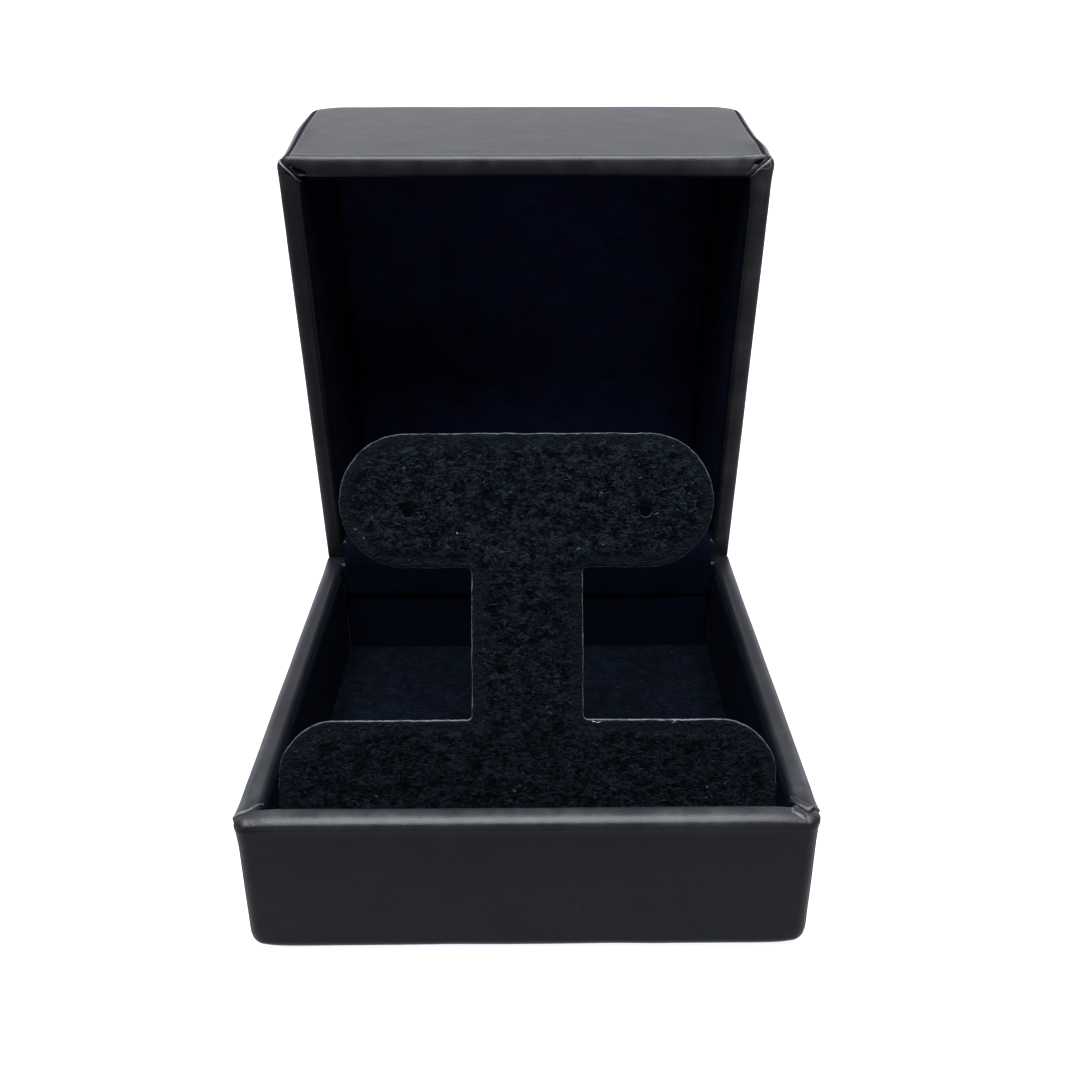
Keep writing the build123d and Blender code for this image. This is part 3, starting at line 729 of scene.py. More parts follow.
        # closed top: offset rings towards the middle, outer face and hidden face
        for which, z0, start in (("out", end, 0), ("in", end + WRAP, P - 1)):
            last = [start * S + s for s in range(S)]
            for d in (4.0, 5.5, 7.5, 10.0, 13.0, 17.0, 22.0, 28.0, 33.0):
                R = ring_row(d)
                rise = crown * float(smooth(d, r_end, 16.0))
                pts = np.stack([R[:, 0], R[:, 1], np.full(S, z0 - (rise if which == "out" else 0))], 1)
                if which == "out":
                    pts[:, 2] += 0.03 * noise(pts, 8.0, seed + 9)
                vs.append(pts)
                cur = [count + s for s in range(S)]
                count += S
                for s in range(S):
                    t = (s + 1) % S
                    faces.append((last[s], last[t], cur[t], cur[s]))
                last = cur
            vs.append(np.array([[0.0, 0.0, z0 - (crown if which == "out" else 0)]]))
            for s in range(S):
                faces.append((last[s], last[(s + 1) % S], count))
            count += 1
    allv = np.concatenate(vs)
    pad0 = np.zeros(len(allv) - len(flat))
    attrs = {k: np.r_[v.reshape(-1), pad0] for k, v in (("seam_and_shade", seam_and_shade), ("wear_and_highlight", wear_and_highlight), ("lip_highlight", lip_highlight))}
    return make(name, allv, faces, M_LEATHER, xf, attrs)


# corners are numbered front right 0, back right 1, back left 2, front left 3
PLAIN = dict(lift=0.03, sink=0.02, groove=0.05, dark=0.6, lip_highlight=0.0, upright=0.0, upright_w=0.08, upright_deep=0.02, upright_dark=0.6, upright_highlight=0.0)
BASE_STYLES = [
    corner_style(
        line=((0.02, 2.15), (0.22, 1.85), (0.34, 1.1), (0.46, 0.3), (0.60, 0.12), (0.80, 0.35), (0.92, 0.9), (1.1, 1.6)),
        lift=0.17, width=0.75, sink=0.10, groove=0.13, lip_highlight=0.5, bulge=0.04, upright_highlight=0.45,
        patches=[
            (((1.0, 0.35), (0.52, -1.7), (0.26, -1.25), (0.34, -0.5), (0.6, -0.15)), 0.11, 0.0, 0.35),
            (((0.95, 1.9), (0.70, 0.55), (0.45, 0.55), (0.35, 1.2), (0.6, 1.5)), 0.09, 0.0, 0.25),
        ],
    ),
    corner_style(**PLAIN),
    corner_style(**PLAIN),
    corner_style(
        line=((0.0, 1.35), (0.15, 1.12), (0.35, 0.80), (0.55, 0.66), (0.75, 0.78), (0.9, 0.95), (1.1, 1.05)),
        lift=0.15, width=1.4, sink=0.16, sink_w=0.8, groove=0.11, lip_highlight=0.75, dark=0.8, bulge=0.16,
    ),
]
# the lid is turned over, so its corner 0 is the left one seen from the front
LID_STYLES = [
    corner_style(
        line=((0.0, 0.15), (0.4, 0.10), (0.62, 0.12), (1.0, 0.45)),
        lift=0.16, width=0.35, sink=0.10, groove=0.10, lip_highlight=0.9, dark=0.6, bulge=0.08, swell=(0.40, 17.0, 8.0), upright=-1.0, upright_w=0.25,
        patches=[
            (((0.30, -0.35), (0.95, -0.15), (0.95, -0.8), (0.6, -2.2)), -0.22, 0.8, 0.0),
            (((0.30, 1.1), (0.75, 0.7), (0.45, 0.45)), -0.12, 0.8, 0.0),
        ],
    ),
    corner_style(**PLAIN),
    corner_style(**PLAIN),
    corner_style(
        line=((0.0, 0.0), (0.25, -0.12), (0.6, -0.35), (1.0, -0.25)),
        lift=0.12, width=0.5, sink=0.06, groove=0.10, lip_highlight=0.5, dark=0.7, bulge=0.10, swell=(0.50, 5.5, 4.5), upright=-1.0, upright_w=0.25,
        patches=[
            (((0.16, -0.55), (0.85, -0.95), (0.78, -1.35), (0.26, -1.75)), -0.20, 0.95, 0.0),
            (((0.60, -0.45), (0.16, -0.15), (0.22, 0.75), (0.45, 0.25)), 0.10, 0.0, 0.7),
        ],
    ),
]
base_wrap = wrap_skin("base_leatherette", SHEET, H_BASE, R_BOT, True, BASE_STYLES, 11, None)
lid_wrap = wrap_skin("lid_leatherette", END_L, H_BASE, R_TOP, False, LID_STYLES, 41, LID, crown=0.25, hem=0.82)


# ---------------------------------------------------------------------------
# velvet-faced strips: a thin closed sheet with a soft pile face
# ---------------------------------------------------------------------------
def sheet_mesh(name, origin, u, v, n, lu, lv, thick, mat, xf=None, step=0.5, pile=0.05,
               seed=0, round_top=0.25, keep=None):
    """Face at origin + u*s + v*t + n*thick. u, v, n are unit vectors; keep(s, t) trims."""
    o, u, v, n = (np.array(k, float) for k in (origin, u, v, n))
    nu, nv = max(2, int(round(lu / step))), max(2, int(round(lv / step)))
    su, sv = np.linspace(0, lu, nu + 1), np.linspace(0, lv, nv + 1)
    SU, SV = np.meshgrid(su, sv, indexing="ij")
    SU, SV = SU.ravel(), SV.ravel()
    base = o + SU[:, None] * u + SV[:, None] * v
    edge = np.minimum.reduce([SU, lu - SU, SV, lv - SV])
    t = thick - round_top * (1 - np.sqrt(np.clip(1 - (1 - np.clip(edge / 0.5, 0, 1)) ** 2, 0, 1)))
    pts = base + n * thick
    ripple = pile * (0.6 * noise(pts, 0.9, seed) + 0.4 * noise(pts, 0.45, seed + 1))
    soft = smooth(edge, 0.0, 0.8)
    top = base + n * (t + ripple * soft)[:, None]
    bot = base.copy()
    N = len(base)
    idx = np.arange(N).reshape(nu + 1, nv + 1)
    faces = []
    inside = np.ones((nu, nv), bool)
    if keep is not None:
        for i in range(nu):
            for j in range(nv):
                inside[i, j] = keep((su[i] + su[i + 1]) / 2, (sv[j] + sv[j + 1]) / 2)
    for i in range(nu):
        for j in range(nv):
            if not inside[i, j]:
                continue
            a, b, c, d = idx[i, j], idx[i + 1, j], idx[i + 1, j + 1], idx[i, j + 1]
            faces.append((a, b, c, d))
            faces.append((a + N, d + N, c + N, b + N))
            for (p, q, ii, jj) in ((a, b, i, j - 1), (b, c, i + 1, j), (c, d, i, j + 1), (d, a, i - 1, j)):
                if ii < 0 or jj < 0 or ii >= nu or jj >= nv or not inside[ii, jj]:
                    faces.append((q, p, p + N, q + N))
    # painted shade along the sheet's far edge
    press = 1 - smooth(lv - SV, 0.0, 1.1)
    ob = make(name, np.concatenate([top, bot]), faces, mat, xf, {"edge_shade": np.r_[press, press]})
    bm = bmesh.new()
    bm.from_mesh(ob.data)
    loose = [x for x in bm.verts if not x.link_faces]
    bmesh.ops.delete(bm, geom=loose, context="VERTS")
    bm.to_mesh(ob.data)
    bm.free()
    return ob


def liner_set(prefix, floor_z, rim, cut, mat, xf, seed, body, names):
    top = rim - 0.6
    h = top - floor_z
    ly = 2 * (TURN_Y - 0.36)
    lx = 2 * IN_X
    out = []

    def side_keep(s, t):
        return not (s > ly - (cut - 0.36) and t > h - 3.0)

    for sx, nm in ((-1, names[0]), (1, names[1])):
        ob = sheet_mesh(
            nm, (sx * TURN_X, -TURN_Y + 0.36, floor_z), (0, 1, 0), (0, 0, 1), (-sx, 0, 0),
            ly, h, LINER, mat, xf, seed=seed + sx, keep=side_keep,
        )
        out.append((ob, ly, h))
    ob = sheet_mesh(names[2], (-IN_X, -TURN_Y, floor_z), (1, 0, 0), (0, 0, 1), (0, 1, 0), lx, h, LINER, mat, xf, seed=seed + 3)
    out.append((ob, lx, h))
    ob = sheet_mesh(names[3], (-IN_X, TURN_Y, floor_z), (1, 0, 0), (0, 0, 1), (0, -1, 0), lx, h - 0.6, LINER, mat, xf, seed=seed + 4)
    out.append((ob, lx, h - 0.6))
    return out


base_liners = liner_set("base", FLOOR_Z, H_BASE, 3.0, M_VELVET, None, 100, "base",
                        ["velvet_base_left", "velvet_base_right", "velvet_base_front", "velvet_base_back"])
lid_liners = liner_set("lid", CEIL_Z, H_BASE, 3.0, M_VELVET_LID_LIT, LID, 200, "lid",
                       ["velvet_lid_right", "velvet_lid_left", "velvet_lid_front", "velvet_lid_back"])
panel = sheet_mesh(
    "velvet_floor_panel", (-IN_X + 0.05, FOOT_Y + 1.0, FLOOR_TOP - PANEL_T), (1, 0, 0), (0, 1, 0), (0, 0, 1),
    2 * IN_X - 0.1, IN_Y - 0.05 - FOOT_Y - 1.0, PANEL_T, M_FLOOR_V, None, step=0.4, pile=0.09, seed=300, round_top=0.35,
)


# ---------------------------------------------------------------------------
# lid pad: foam under velvet, crowned, tucked in at its edges
# ---------------------------------------------------------------------------
def pad_mesh(name, lx, ly, z0, thick, crown, mat, xf, seed):
    n = 110
    u = np.linspace(-1, 1, n + 1)
    U, V = np.meshgrid(u, u, indexing="ij")
    X, Y = U * lx / 2, V * ly / 2
    edge = np.minimum(lx / 2 - abs(X), ly / 2 - abs(Y))
    roll = np.sqrt(np.clip(1 - (1 - np.clip(edge / 1.6, 0, 1)) ** 2, 0, 1))
    t = (thick - 0.7) + 0.7 * roll + crown * (1 - U ** 4) * (1 - V ** 4) - 0.12 * np.exp(-((edge - 2.4) / 1.5) ** 2)
    pts = np.stack([X.ravel(), Y.ravel(), np.zeros(X.size)], 1)
    pull = noise(pts * np.array([1, 1, 1]), 4.0, seed) * np.exp(-np.maximum(edge.ravel() - 0.3, 0) / 2.5) * 0.10
    rip = 0.05 * noise(pts, 0.9, seed + 1) + 0.03 * noise(pts, 0.5, seed + 2)
    tz = t.ravel() + pull + rip * smooth(edge.ravel(), 0, 0.8)
    top = pts.copy()
    top[:, 2] = z0 + tz
    bot = pts.copy()
    bot[:, 2] = z0
    N = X.size
    idx = np.arange(N).reshape(n + 1, n + 1)
    faces = []
    for i in range(n):
        for j in range(n):
            a, b, c, d = idx[i, j], idx[i + 1, j], idx[i + 1, j + 1], idx[i, j + 1]
            faces += [(a, b, c, d), (a + N, d + N, c + N, b + N)]
    for k in range(n):
        for p, q in ((idx[k, 0], idx[k + 1, 0]), (idx[n, k], idx[n, k + 1]), (idx[k + 1, n], idx[k, n]), (idx[0, k + 1], idx[0, k])):
            faces.append((q, p, p + N, q + N))
    return make(name, np.concatenate([top, bot]), faces, mat, xf)


lid_pad = pad_mesh("velvet_lid_pad", 2 * IN_X - 0.3, 2 * IN_Y - 0.3, CEIL_Z + PAD_BOARD, PAD_T, 0.25, M_VELVET_LID_LIT, LID, 400)


# ---------------------------------------------------------------------------
# hinge cover strip: velvet that turns round the hinge
# ---------------------------------------------------------------------------
def strip_mesh():
    t = 0.35
    r0 = AX_Y - IN_Y + 0.06
    hw = IN_X - 0.25
    path = []
    for z in np.linspace(H_BASE - 6.0, AX_Z, 13)[:-1]:
        path.append((AX_Y, z, -1.0, 0.0))                     # centre y, z, direction y, z
    for a in np.linspace(180, 180 - OPEN_DEG, 25):
        path.append((AX_Y, AX_Z, math.cos(math.radians(a)), math.sin(math.radians(a))))
    ca, sa = math.cos(math.radians(180 - OPEN_DEG)), math.sin(math.radians(180 - OPEN_DEG))
    for s in np.linspace(0, 6.0, 13)[1:]:
        path.append((AX_Y + s * sa, AX_Z - s * ca, ca, sa))
    xs = np.linspace(-hw, hw, 160)
    P, S = len(path), len(xs)
    top, bot = np.zeros((P, S, 3)), np.zeros((P, S, 3))
    for i, (cy, cz, dy, dz) in enumerate(path):
        e = min(i, P - 1 - i) / 3.0
        th = t * (0.45 + 0.55 * min(1, e))
        pts = np.stack([xs, np.full(S, cy + dy * r0), np.full(S, cz + dz * r0)], 1)
        rp = 0.05 * noise(pts, 0.9, 500) + 0.03 * noise(pts, 0.5, 501) + 0.05 * noise(pts * np.array([0.35, 1, 1]), 2.0, 502)
        k = r0 + th + rp
        top[i] = np.stack([xs, cy + dy * k, cz + dz * k], 1)
        bot[i] = pts
    v = np.concatenate([top.reshape(-1, 3), bot.reshape(-1, 3)])
    N = P * S
    faces = []
    for i in range(P - 1):
        for s in range(S - 1):
            a, b, c, d = i * S + s, i * S + s + 1, (i + 1) * S + s + 1, (i + 1) * S + s
            faces += [(a, b, c, d), (a + N, d + N, c + N, b + N)]
    for s in range(S - 1):
        for p, q in ((s, s + 1), ((P - 1) * S + s + 1, (P - 1) * S + s)):
            faces.append((q, p, p + N, q + N))
    for i in range(P - 1):
        for p, q in (((i + 1) * S, i * S), (i * S + S - 1, (i + 1) * S + S - 1)):
            faces.append((q, p, p + N, q + N))
    return make("velvet_hinge_strip", v, faces, M_VELVET)


strip = strip_mesh()


# ---------------------------------------------------------------------------
# card: a thin board cut to shape, with pile on both faces
# ---------------------------------------------------------------------------
def card_outline(step=0.25):
    """Closed loop of the card's outline, anticlockwise from the lower left, with outward directions."""
    pts, nrm = [], []
    lw, lh, lr = LOW_W / 2, LOW_H, LOW_R
    sw = STEM_W / 2
    bw, br = BAR_W / 2, BAR_H / 2
    by = CARD_L - BAR_H / 2
    f = INNER_R

    def line(a, b):
        length = math.hypot(b[0] - a[0], b[1] - a[1])
        n = max(1, int(length / step))
        for k in range(n):
            pts.append((a[0] + (b[0] - a[0]) * k / n, a[1] + (b[1] - a[1]) * k / n))
            nrm.append(((b[1] - a[1]) / length, -(b[0] - a[0]) / length))

    def arc(cx, cy, r, a0, a1):
        n = max(5, int(abs(math.radians(a1 - a0)) * r / step))
        sg = 1 if a1 > a0 else -1
        for k in range(n):
            a = math.radians(a0 + (a1 - a0) * k / n)
            pts.append((cx + r * math.cos(a), cy + r * math.sin(a)))
            nrm.append((sg * math.cos(a), sg * math.sin(a)))

    y0 = LOW_START
    line((-lw, y0), (lw, y0))
    line((lw, y0), (lw, lh - lr))
    arc(lw - lr, lh - lr, lr, 0, 90)
    line((lw - lr, lh), (sw + f, lh))
    arc(sw + f, lh + f, f, 270, 180)
    line((sw, lh + f), (sw, by - br - f))
    arc(sw + f, by - br - f, f, 180, 90)
    line((sw + f, by - br), (bw - br, by - br))
    arc(bw - br, by, br, -90, 90)
    line((bw - br, by + br), (-(bw - br), by + br))
    arc(-(bw - br), by, br, 90, 270)
    line((-(bw - br), by - br), (-(sw + f), by - br))
    arc(-(sw + f), by - br - f, f, 90, 0)
    line((-sw, by - br - f), (-sw, lh + f))
    arc(-(sw + f), lh + f, f, 360, 270)
    line((-(sw + f), lh), (-(lw - lr), lh))
    arc(-(lw - lr), lh - lr, lr, 90, 180)
    line((-lw, lh - lr), (-lw, y0))
    return np.array(pts), np.array(nrm)


OUT_P, OUT_N = card_outline()
# the die cut wanders a few hundredths of a millimetre
_w = np.c_[OUT_P, np.zeros(len(OUT_P))]
CUT = 0.05 * noise(_w, 2.6, 900) + 0.035 * noise(_w, 0.9, 901) + 0.02 * noise(_w, 0.4, 902)


def card_loop(inset, ragged=0.0, seed=0):
    extra = ragged * (0.6 * noise(_w, 0.8, seed) + 0.4 * noise(_w, 0.35, seed + 1)) if ragged else 0.0
    return OUT_P + OUT_N * (CUT - inset - extra)[:, None] if ragged else OUT_P + OUT_N * (CUT - inset)[:, None]


def hole_loops(extra, n=36, ragged=0.0, seed=0):
    out = []
    for k, hx in enumerate((-HOLE_X, HOLE_X)):
        a = np.linspace(0, 2 * math.pi, n, endpoint=False)
        r = HOLE_R + extra + ragged * noise(np.stack([np.cos(a) * 1.5, np.sin(a) * 1.5, a * 0 + k * 7], 1), 0.7, seed)
        out.append(np.stack([hx + r * np.cos(a), CARD_L - HOLE_DOWN + r * np.sin(a)], 1))
    return out


def dist_to_loop(p, loop):
    a, b = loop, np.roll(loop, -1, 0)
    best = np.full(len(p), 1e9)
    ab = b - a
    l2 = np.maximum((ab ** 2).sum(1), 1e-12)
    for i0 in range(0, len(p), 2000):
        q = p[i0:i0 + 2000]
        t = np.clip(((q[:, None] - a[None]) * ab[None]).sum(2) / l2, 0, 1)
        c = a[None] + t[..., None] * ab[None]
        best[i0:i0 + 2000] = np.sqrt(((q[:, None] - c) ** 2).sum(2)).min(1)
    return best


def inside_loop(p, loop):
    a, b = loop, np.roll(loop, -1, 0)
    odd = np.zeros(len(p), bool)
    for i in range(len(a)):
        c = ((a[i, 1] > p[:, 1]) != (b[i, 1] > p[:, 1])) & (
            p[:, 0] < (b[i, 0] - a[i, 0]) * (p[:, 1] - a[i, 1]) / (b[i, 1] - a[i, 1] + 1e-15) + a[i, 0]
        )
        odd ^= c
    return odd


def board_mesh(name, mat):
    """The cut board: flat faces, crushed bevelled edge all round and at the two holes."""
    h = CORE_T / 2
    levels = [(0.14, h), (0.07, h - 0.035), (0.01, h - 0.12), (0.0, 0.0), (0.04, -h + 0.12), (0.18, -h)]
    rings = []
    for ins, z in levels:
        rings.append(([card_loop(ins)] + hole_loops(ins * 0.6), z))
    n_out, n_hole = len(OUT_P), len(rings[0][0][1])
    sizes = [n_out, n_hole, n_hole]
    per = sum(sizes)
    v = np.concatenate([np.concatenate([np.c_[loop, np.full(len(loop), z)] for loop in loops]) for loops, z in rings])
    faces = []
    for r in range(len(rings) - 1):
        off = 0
        for k, n in enumerate(sizes):
            for i in range(n):
                a, b = r * per + off + i, r * per + off + (i + 1) % n
                faces.append((a, b, b + per, a + per))
            off += n
    for r in (0, len(rings) - 1):
        P2 = [tuple(x[:2]) for x in v[r * per:(r + 1) * per]]
        edges, off = [], 0
        for n in sizes:
            edges += [(off + i, off + (i + 1) % n) for i in range(n)]
            off += n
        vo, eo, fo, ov, _, _ = geometry.delaunay_2d_cdt([Vector(p) for p in P2], edges, [], 0, 1e-7)
        V2 = np.array([(p[0], p[1]) for p in vo])
        back = [o[0] if o else -1 for o in ov]
        F = np.array([f for f in fo if len(f) == 3])
        C = V2[F].mean(1)
        keep = inside_loop(C, rings[r][0][0])
        for hl in rings[r][0][1:]:
            keep &= ~inside_loop(C, hl)
        for f in F[keep]:
            faces.append(tuple(r * per + back[i] for i in f))
    # painted highlight: the cut edge is lighter on the front bevel and along the stem, dimmer along the bar, and on the
    # low part dimmer at its outer ends and lighter towards its right
    edge = np.concatenate([np.full(per, e) for e in (0.5, 1.0, 1.0, 0.6, 0.3, 0.1)])
    upper = smooth(v[:, 1], 23.5, 25.0)
    bar = smooth(v[:, 1], 40.0, 44.0)
    edge = edge * (0.31 + 0.18 * upper - 0.27 * bar) * (1 - 0.45 * smooth(abs(v[:, 0]), 20.0, 25.0) * (1 - upper)) * (0.8 + 0.35 * smooth(v[:, 0], 5.0, 20.0) * (1 - upper))
    at_hole = np.minimum(np.hypot(v[:, 0] - HOLE_X, v[:, 1] - CARD_L + HOLE_DOWN), np.hypot(v[:, 0] + HOLE_X, v[:, 1] - CARD_L + HOLE_DOWN))
    edge = edge * smooth(at_hole, 1.2, 2.0)
    ob = make(name, v, faces, mat, CARD, {"edge": edge})
    return ob


def card_shade(y):
    """Painted shade: the card is darkest at its foot, low in the box behind the front wall, and lighter up the stem and
    the bar.
    """
    return 0.56 + 0.16 * smooth(y, 20.0, 28.0) + 0.17 * smooth(y, 38.0, 46.0)


def flock(name, z0, z1, mat, grid, pile, seed, front):
    """Pile layer on one face of the card: flat at z0, soft at z1, thinner in a pressed band along the edge."""
    loop = card_loop(0.10 if front else CARD_EDGE, 0.07 if front else 0.0, seed + 50)
    holes = hole_loops(0.05, 36, 0.05 if front else 0.0, seed + 60)
    gx = np.arange(-LOW_W / 2, LOW_W / 2, grid)
    gy = np.arange(0, CARD_L, grid)
    G = np.stack(np.meshgrid(gx, gy, indexing="ij"), -1).reshape(-1, 2)
    G += rng.uniform(-0.3, 0.3, G.shape) * grid
    ok = inside_loop(G, loop)
    G = G[ok]
    G = G[dist_to_loop(G, loop[::2]) > grid * 0.7]
    for h in holes:
        c = h.mean(0)
        G = G[np.hypot(*(G - c).T) > HOLE_R + 0.1 + grid * 0.5]
    P2 = [tuple(x) for x in loop]
    edges = [(i, (i + 1) % len(loop)) for i in range(len(loop))]
    for h in holes:
        k = len(P2)
        P2 += [tuple(x) for x in h]
        edges += [(k + i, k + (i + 1) % len(h)) for i in range(len(h))]
    P2 += [tuple(x) for x in G]
    vo, eo, fo, _, _, _ = geometry.delaunay_2d_cdt([Vector(p) for p in P2], edges, [], 0, 1e-6)
    V2 = np.array([(p[0], p[1]) for p in vo])
    F = np.array([f for f in fo if len(f) == 3])
    C = V2[F].mean(1)
    keep = inside_loop(C, loop)
    for h in holes:
        keep &= ~inside_loop(C, h)
    F = F[keep]
    sgn = 1.0 if z1 > z0 else -1.0
    full = abs(z1 - z0)
    de = dist_to_loop(V2, loop)
    dh = np.minimum.reduce([np.abs(np.hypot(*(V2 - h.mean(0)).T) - HOLE_R) for h in holes])
    p3 = np.stack([V2[:, 0] * 0.5, V2[:, 1], np.zeros(len(V2))], 1)
    q3 = np.stack([V2[:, 0], V2[:, 1], np.zeros(len(V2))], 1)
    # pressed band: the punch has laid the pile down along the edge, unevenly
    reach = 1.9 + 0.5 * noise(q3, 4.0, seed + 7)
    t = full * (0.30 + 0.16 * smooth(de, 0.0, 0.35) + 0.54 * smooth(de, reach - 0.9, reach + 0.3))
    t *= 0.45 + 0.55 * smooth(dh, 0.0, 0.8)
    for hx in (-HOLE_X, HOLE_X):
        ox, oy = V2[:, 0] - hx + 0.1, V2[:, 1] - (CARD_L - HOLE_DOWN)
        rr = np.hypot(ox, oy)
        t += 0.16 * np.exp(-(((rr - HOLE_R - 0.28) / 0.22) ** 2)) * smooth(-oy, 0.1, 0.9)
    amp = pile * (0.35 + 0.65 * smooth(de, reach - 0.9, reach + 0.4)) * smooth(de, 0.0, 0.3) * smooth(dh, 0.0, 0.5)
    rip = 0.50 * noise(p3, 1.0, seed) + 0.40 * noise(p3, 0.48, seed + 1) + 0.35 * noise(p3, 0.26, seed + 2)
    top = np.stack([V2[:, 0], V2[:, 1], z0 + sgn * np.maximum(t + amp * rip, 0.06)], 1)
    bot = np.stack([V2[:, 0], V2[:, 1], np.full(len(V2), z0)], 1)
    N = len(V2)
    faces = [tuple(f) for f in F] + [(f[2] + N, f[1] + N, f[0] + N) for f in F]
    cnt = {}
    for f in F:
        for a, b in ((f[0], f[1]), (f[1], f[2]), (f[2], f[0])):
            cnt[(a, b)] = cnt.get((a, b), 0) + 1
    for a, b in list(cnt):
        if (b, a) not in cnt:
            faces.append((b, a, a + N, b + N))
    band = 1 - smooth(de, reach - 1.0, reach + 0.2)
    # the pile dips into shade round the two post holes
    low = card_shade(V2[:, 1]) * (1 - 0.6 * np.exp(-((dh / 0.4) ** 2)))
    ob = make(name, np.concatenate([top, bot]), faces, mat, CARD, {"band": np.r_[band, band], "dim": np.r_[low, low]})
    bm = bmesh.new()
    bm.from_mesh(ob.data)
    bmesh.ops.delete(bm, geom=[x for x in bm.verts if not x.link_faces], context="VERTS")
    bm.to_mesh(ob.data)
    bm.free()
    return ob


def q3_of(P):
    return np.stack([P[:, 0] * 0.6, P[:, 1], np.zeros(len(P))], 1)


# x, height up the card, turn, length, half thickness
LINT = [
    (9.6, 45.2, 0.3, 0.5, 0.02), (8.3, 22.78, -0.1, 0.5, 0.07), (8.9, 22.75, 0.1, 0.8, 0.04), (18.4, 22.8, 0.8, 0.8, 0.025),
    (18.5, 22.8, -0.7, 0.7, 0.025), (-9.9, 44.9, -0.5, 0.5, 0.02), (4.0, 48.2, 0.9, 0.6, 0.018), (-21.5, 47.2, 0.1, 0.5, 0.018),
    (-20.4, 46.1, -0.7, 0.4, 0.018), (14.2, 53.5, 0.4, 0.5, 0.018), (-6.5, 51.7, 1.4, 0.5, 0.018), (-17.2, 10.5, 0.2, 0.5, 0.018),
    (22.5, 13.0, 0.7, 0.4, 0.018),
]


def fibres(name, count, mat, seed):
    """Single laid-down pile fibres on the card's front: slim closed darts with their roots in the pile."""
    r = np.random.default_rng(seed)
    loop = card_loop(0.25)
    P = np.stack([r.uniform(-LOW_W / 2, LOW_W / 2, count * 2), r.uniform(0.5, CARD_L, count * 2)], 1)
    P = P[inside_loop(P, loop)][:count]
    # fibres gather in drifts
    q3 = np.stack([P[:, 0] * 0.5, P[:, 1], np.zeros(len(P))], 1)
    drift = 0.5 + 0.35 * noise(q3, 2.2, seed) + 0.35 * noise(q3, 0.8, seed + 1)
    P = P[r.uniform(0, 1, len(P)) < drift]
    for hx in (-HOLE_X, HOLE_X):
        P = P[np.hypot(P[:, 0] - hx, P[:, 1] - CARD_L + HOLE_DOWN) > HOLE_R + 0.5]
    de = dist_to_loop(P, loop[::3])
    n = len(P)
    turn = 0.9 * noise(np.c_[P, np.zeros(len(P))], 2.5, seed + 3)
    ang = turn + r.normal(0.0, 0.85, n) + np.where(r.uniform(0, 1, n) < 0.5, 0, math.pi)
    length = r.uniform(0.30, 0.95, n) * (0.6 + 0.4 * smooth(de, 0.3, 1.5))
    thick = r.uniform(0.045, 0.095, n)
    z = CORE_T / 2 + FRONT_T * (0.42 + 0.48 * smooth(de, 1.0, 2.2)) + r.uniform(-0.05, 0.05, n)
    rise = r.uniform(0.0, 0.14, n) * smooth(de, 0.5, 2.0)
    tone = r.uniform(0, 1, n) ** 1.8 * (0.75 + 0.35 * noise(q3_of(P), 3.0, seed + 5))
    # painted glints: a few short fibres made pale, as if catching the light
    glint = r.uniform(0, 1, n) < 0.014
    # painted shade: the fibres darken towards the card's foot too
    tone = np.where(glint, r.uniform(0.8, 1.1, n), tone * 0.85) * card_shade(P[:, 1])
    length = np.where(glint, length * 0.45, length)
    thick = np.where(glint, thick * 0.65, thick)
    # a few crumbs of lint and long stray hairs
    for k, (lx, ly, la, ll, lt) in enumerate(LINT):
        P[k] = (lx, ly)
        de[k] = max(de[k], 1.0)
        ang[k], length[k], thick[k], z[k], rise[k], tone[k] = la, ll, lt, CORE_T / 2 + FRONT_T + 0.06, 0.05, 1.3
    d = np.stack([np.cos(ang), np.sin(ang)], 1)
    s = np.stack([-np.sin(ang), np.cos(ang)], 1)
    limit = np.minimum(length, np.maximum(de - 0.02, 0.05) * 2)
    bow = limit * r.normal(0, 0.16, n)
    rows = [(-0.5, 0.15, -0.03), (-0.2, 0.9, 0.3), (0.15, 1.0, 0.7), (0.5, 0.15, 1.0)]
    v = np.zeros((n, 12, 3))
    for k, (f, w, lift) in enumerate(rows):
        c = P + d * (limit * f)[:, None] + s * (bow * (1 - 4 * f * f))[:, None]
        for q, (ss, up) in enumerate(((1.0, -0.5), (-1.0, -0.5), (0.0, 0.9))):
            v[:, k * 3 + q, :2] = c + s * (thick * ss * w)[:, None]
            v[:, k * 3 + q, 2] = z + rise * lift + thick * up * w - (0.05 if k == 0 else 0.0)
    unit = [(0, 2, 1), (9, 10, 11)]
    for k in range(3):
        for q in range(3):
            a, b = k * 3 + q, k * 3 + (q + 1) % 3
            unit.append((a, b, b + 3, a + 3))
    f = []
    for i in range(n):
        f += [tuple(i * 12 + x for x in face) for face in unit]
    return make(name, v.reshape(-1, 3), f, mat, CARD, {"tone": np.repeat(tone, 12)}, True)


card_board = board_mesh("card_board", M_CORE)
card_front = flock("card_flocking_front", CORE_T / 2, CORE_T / 2 + FRONT_T, M_CARD, 0.20, 0.15, 600, True)
card_back = flock("card_flocking_back", -CORE_T / 2, -CORE_T / 2 - BACK_T, M_CARD, 0.45, 0.06, 640, False)
card_pile = fibres("card_pile", 20000, M_PILE, 21)


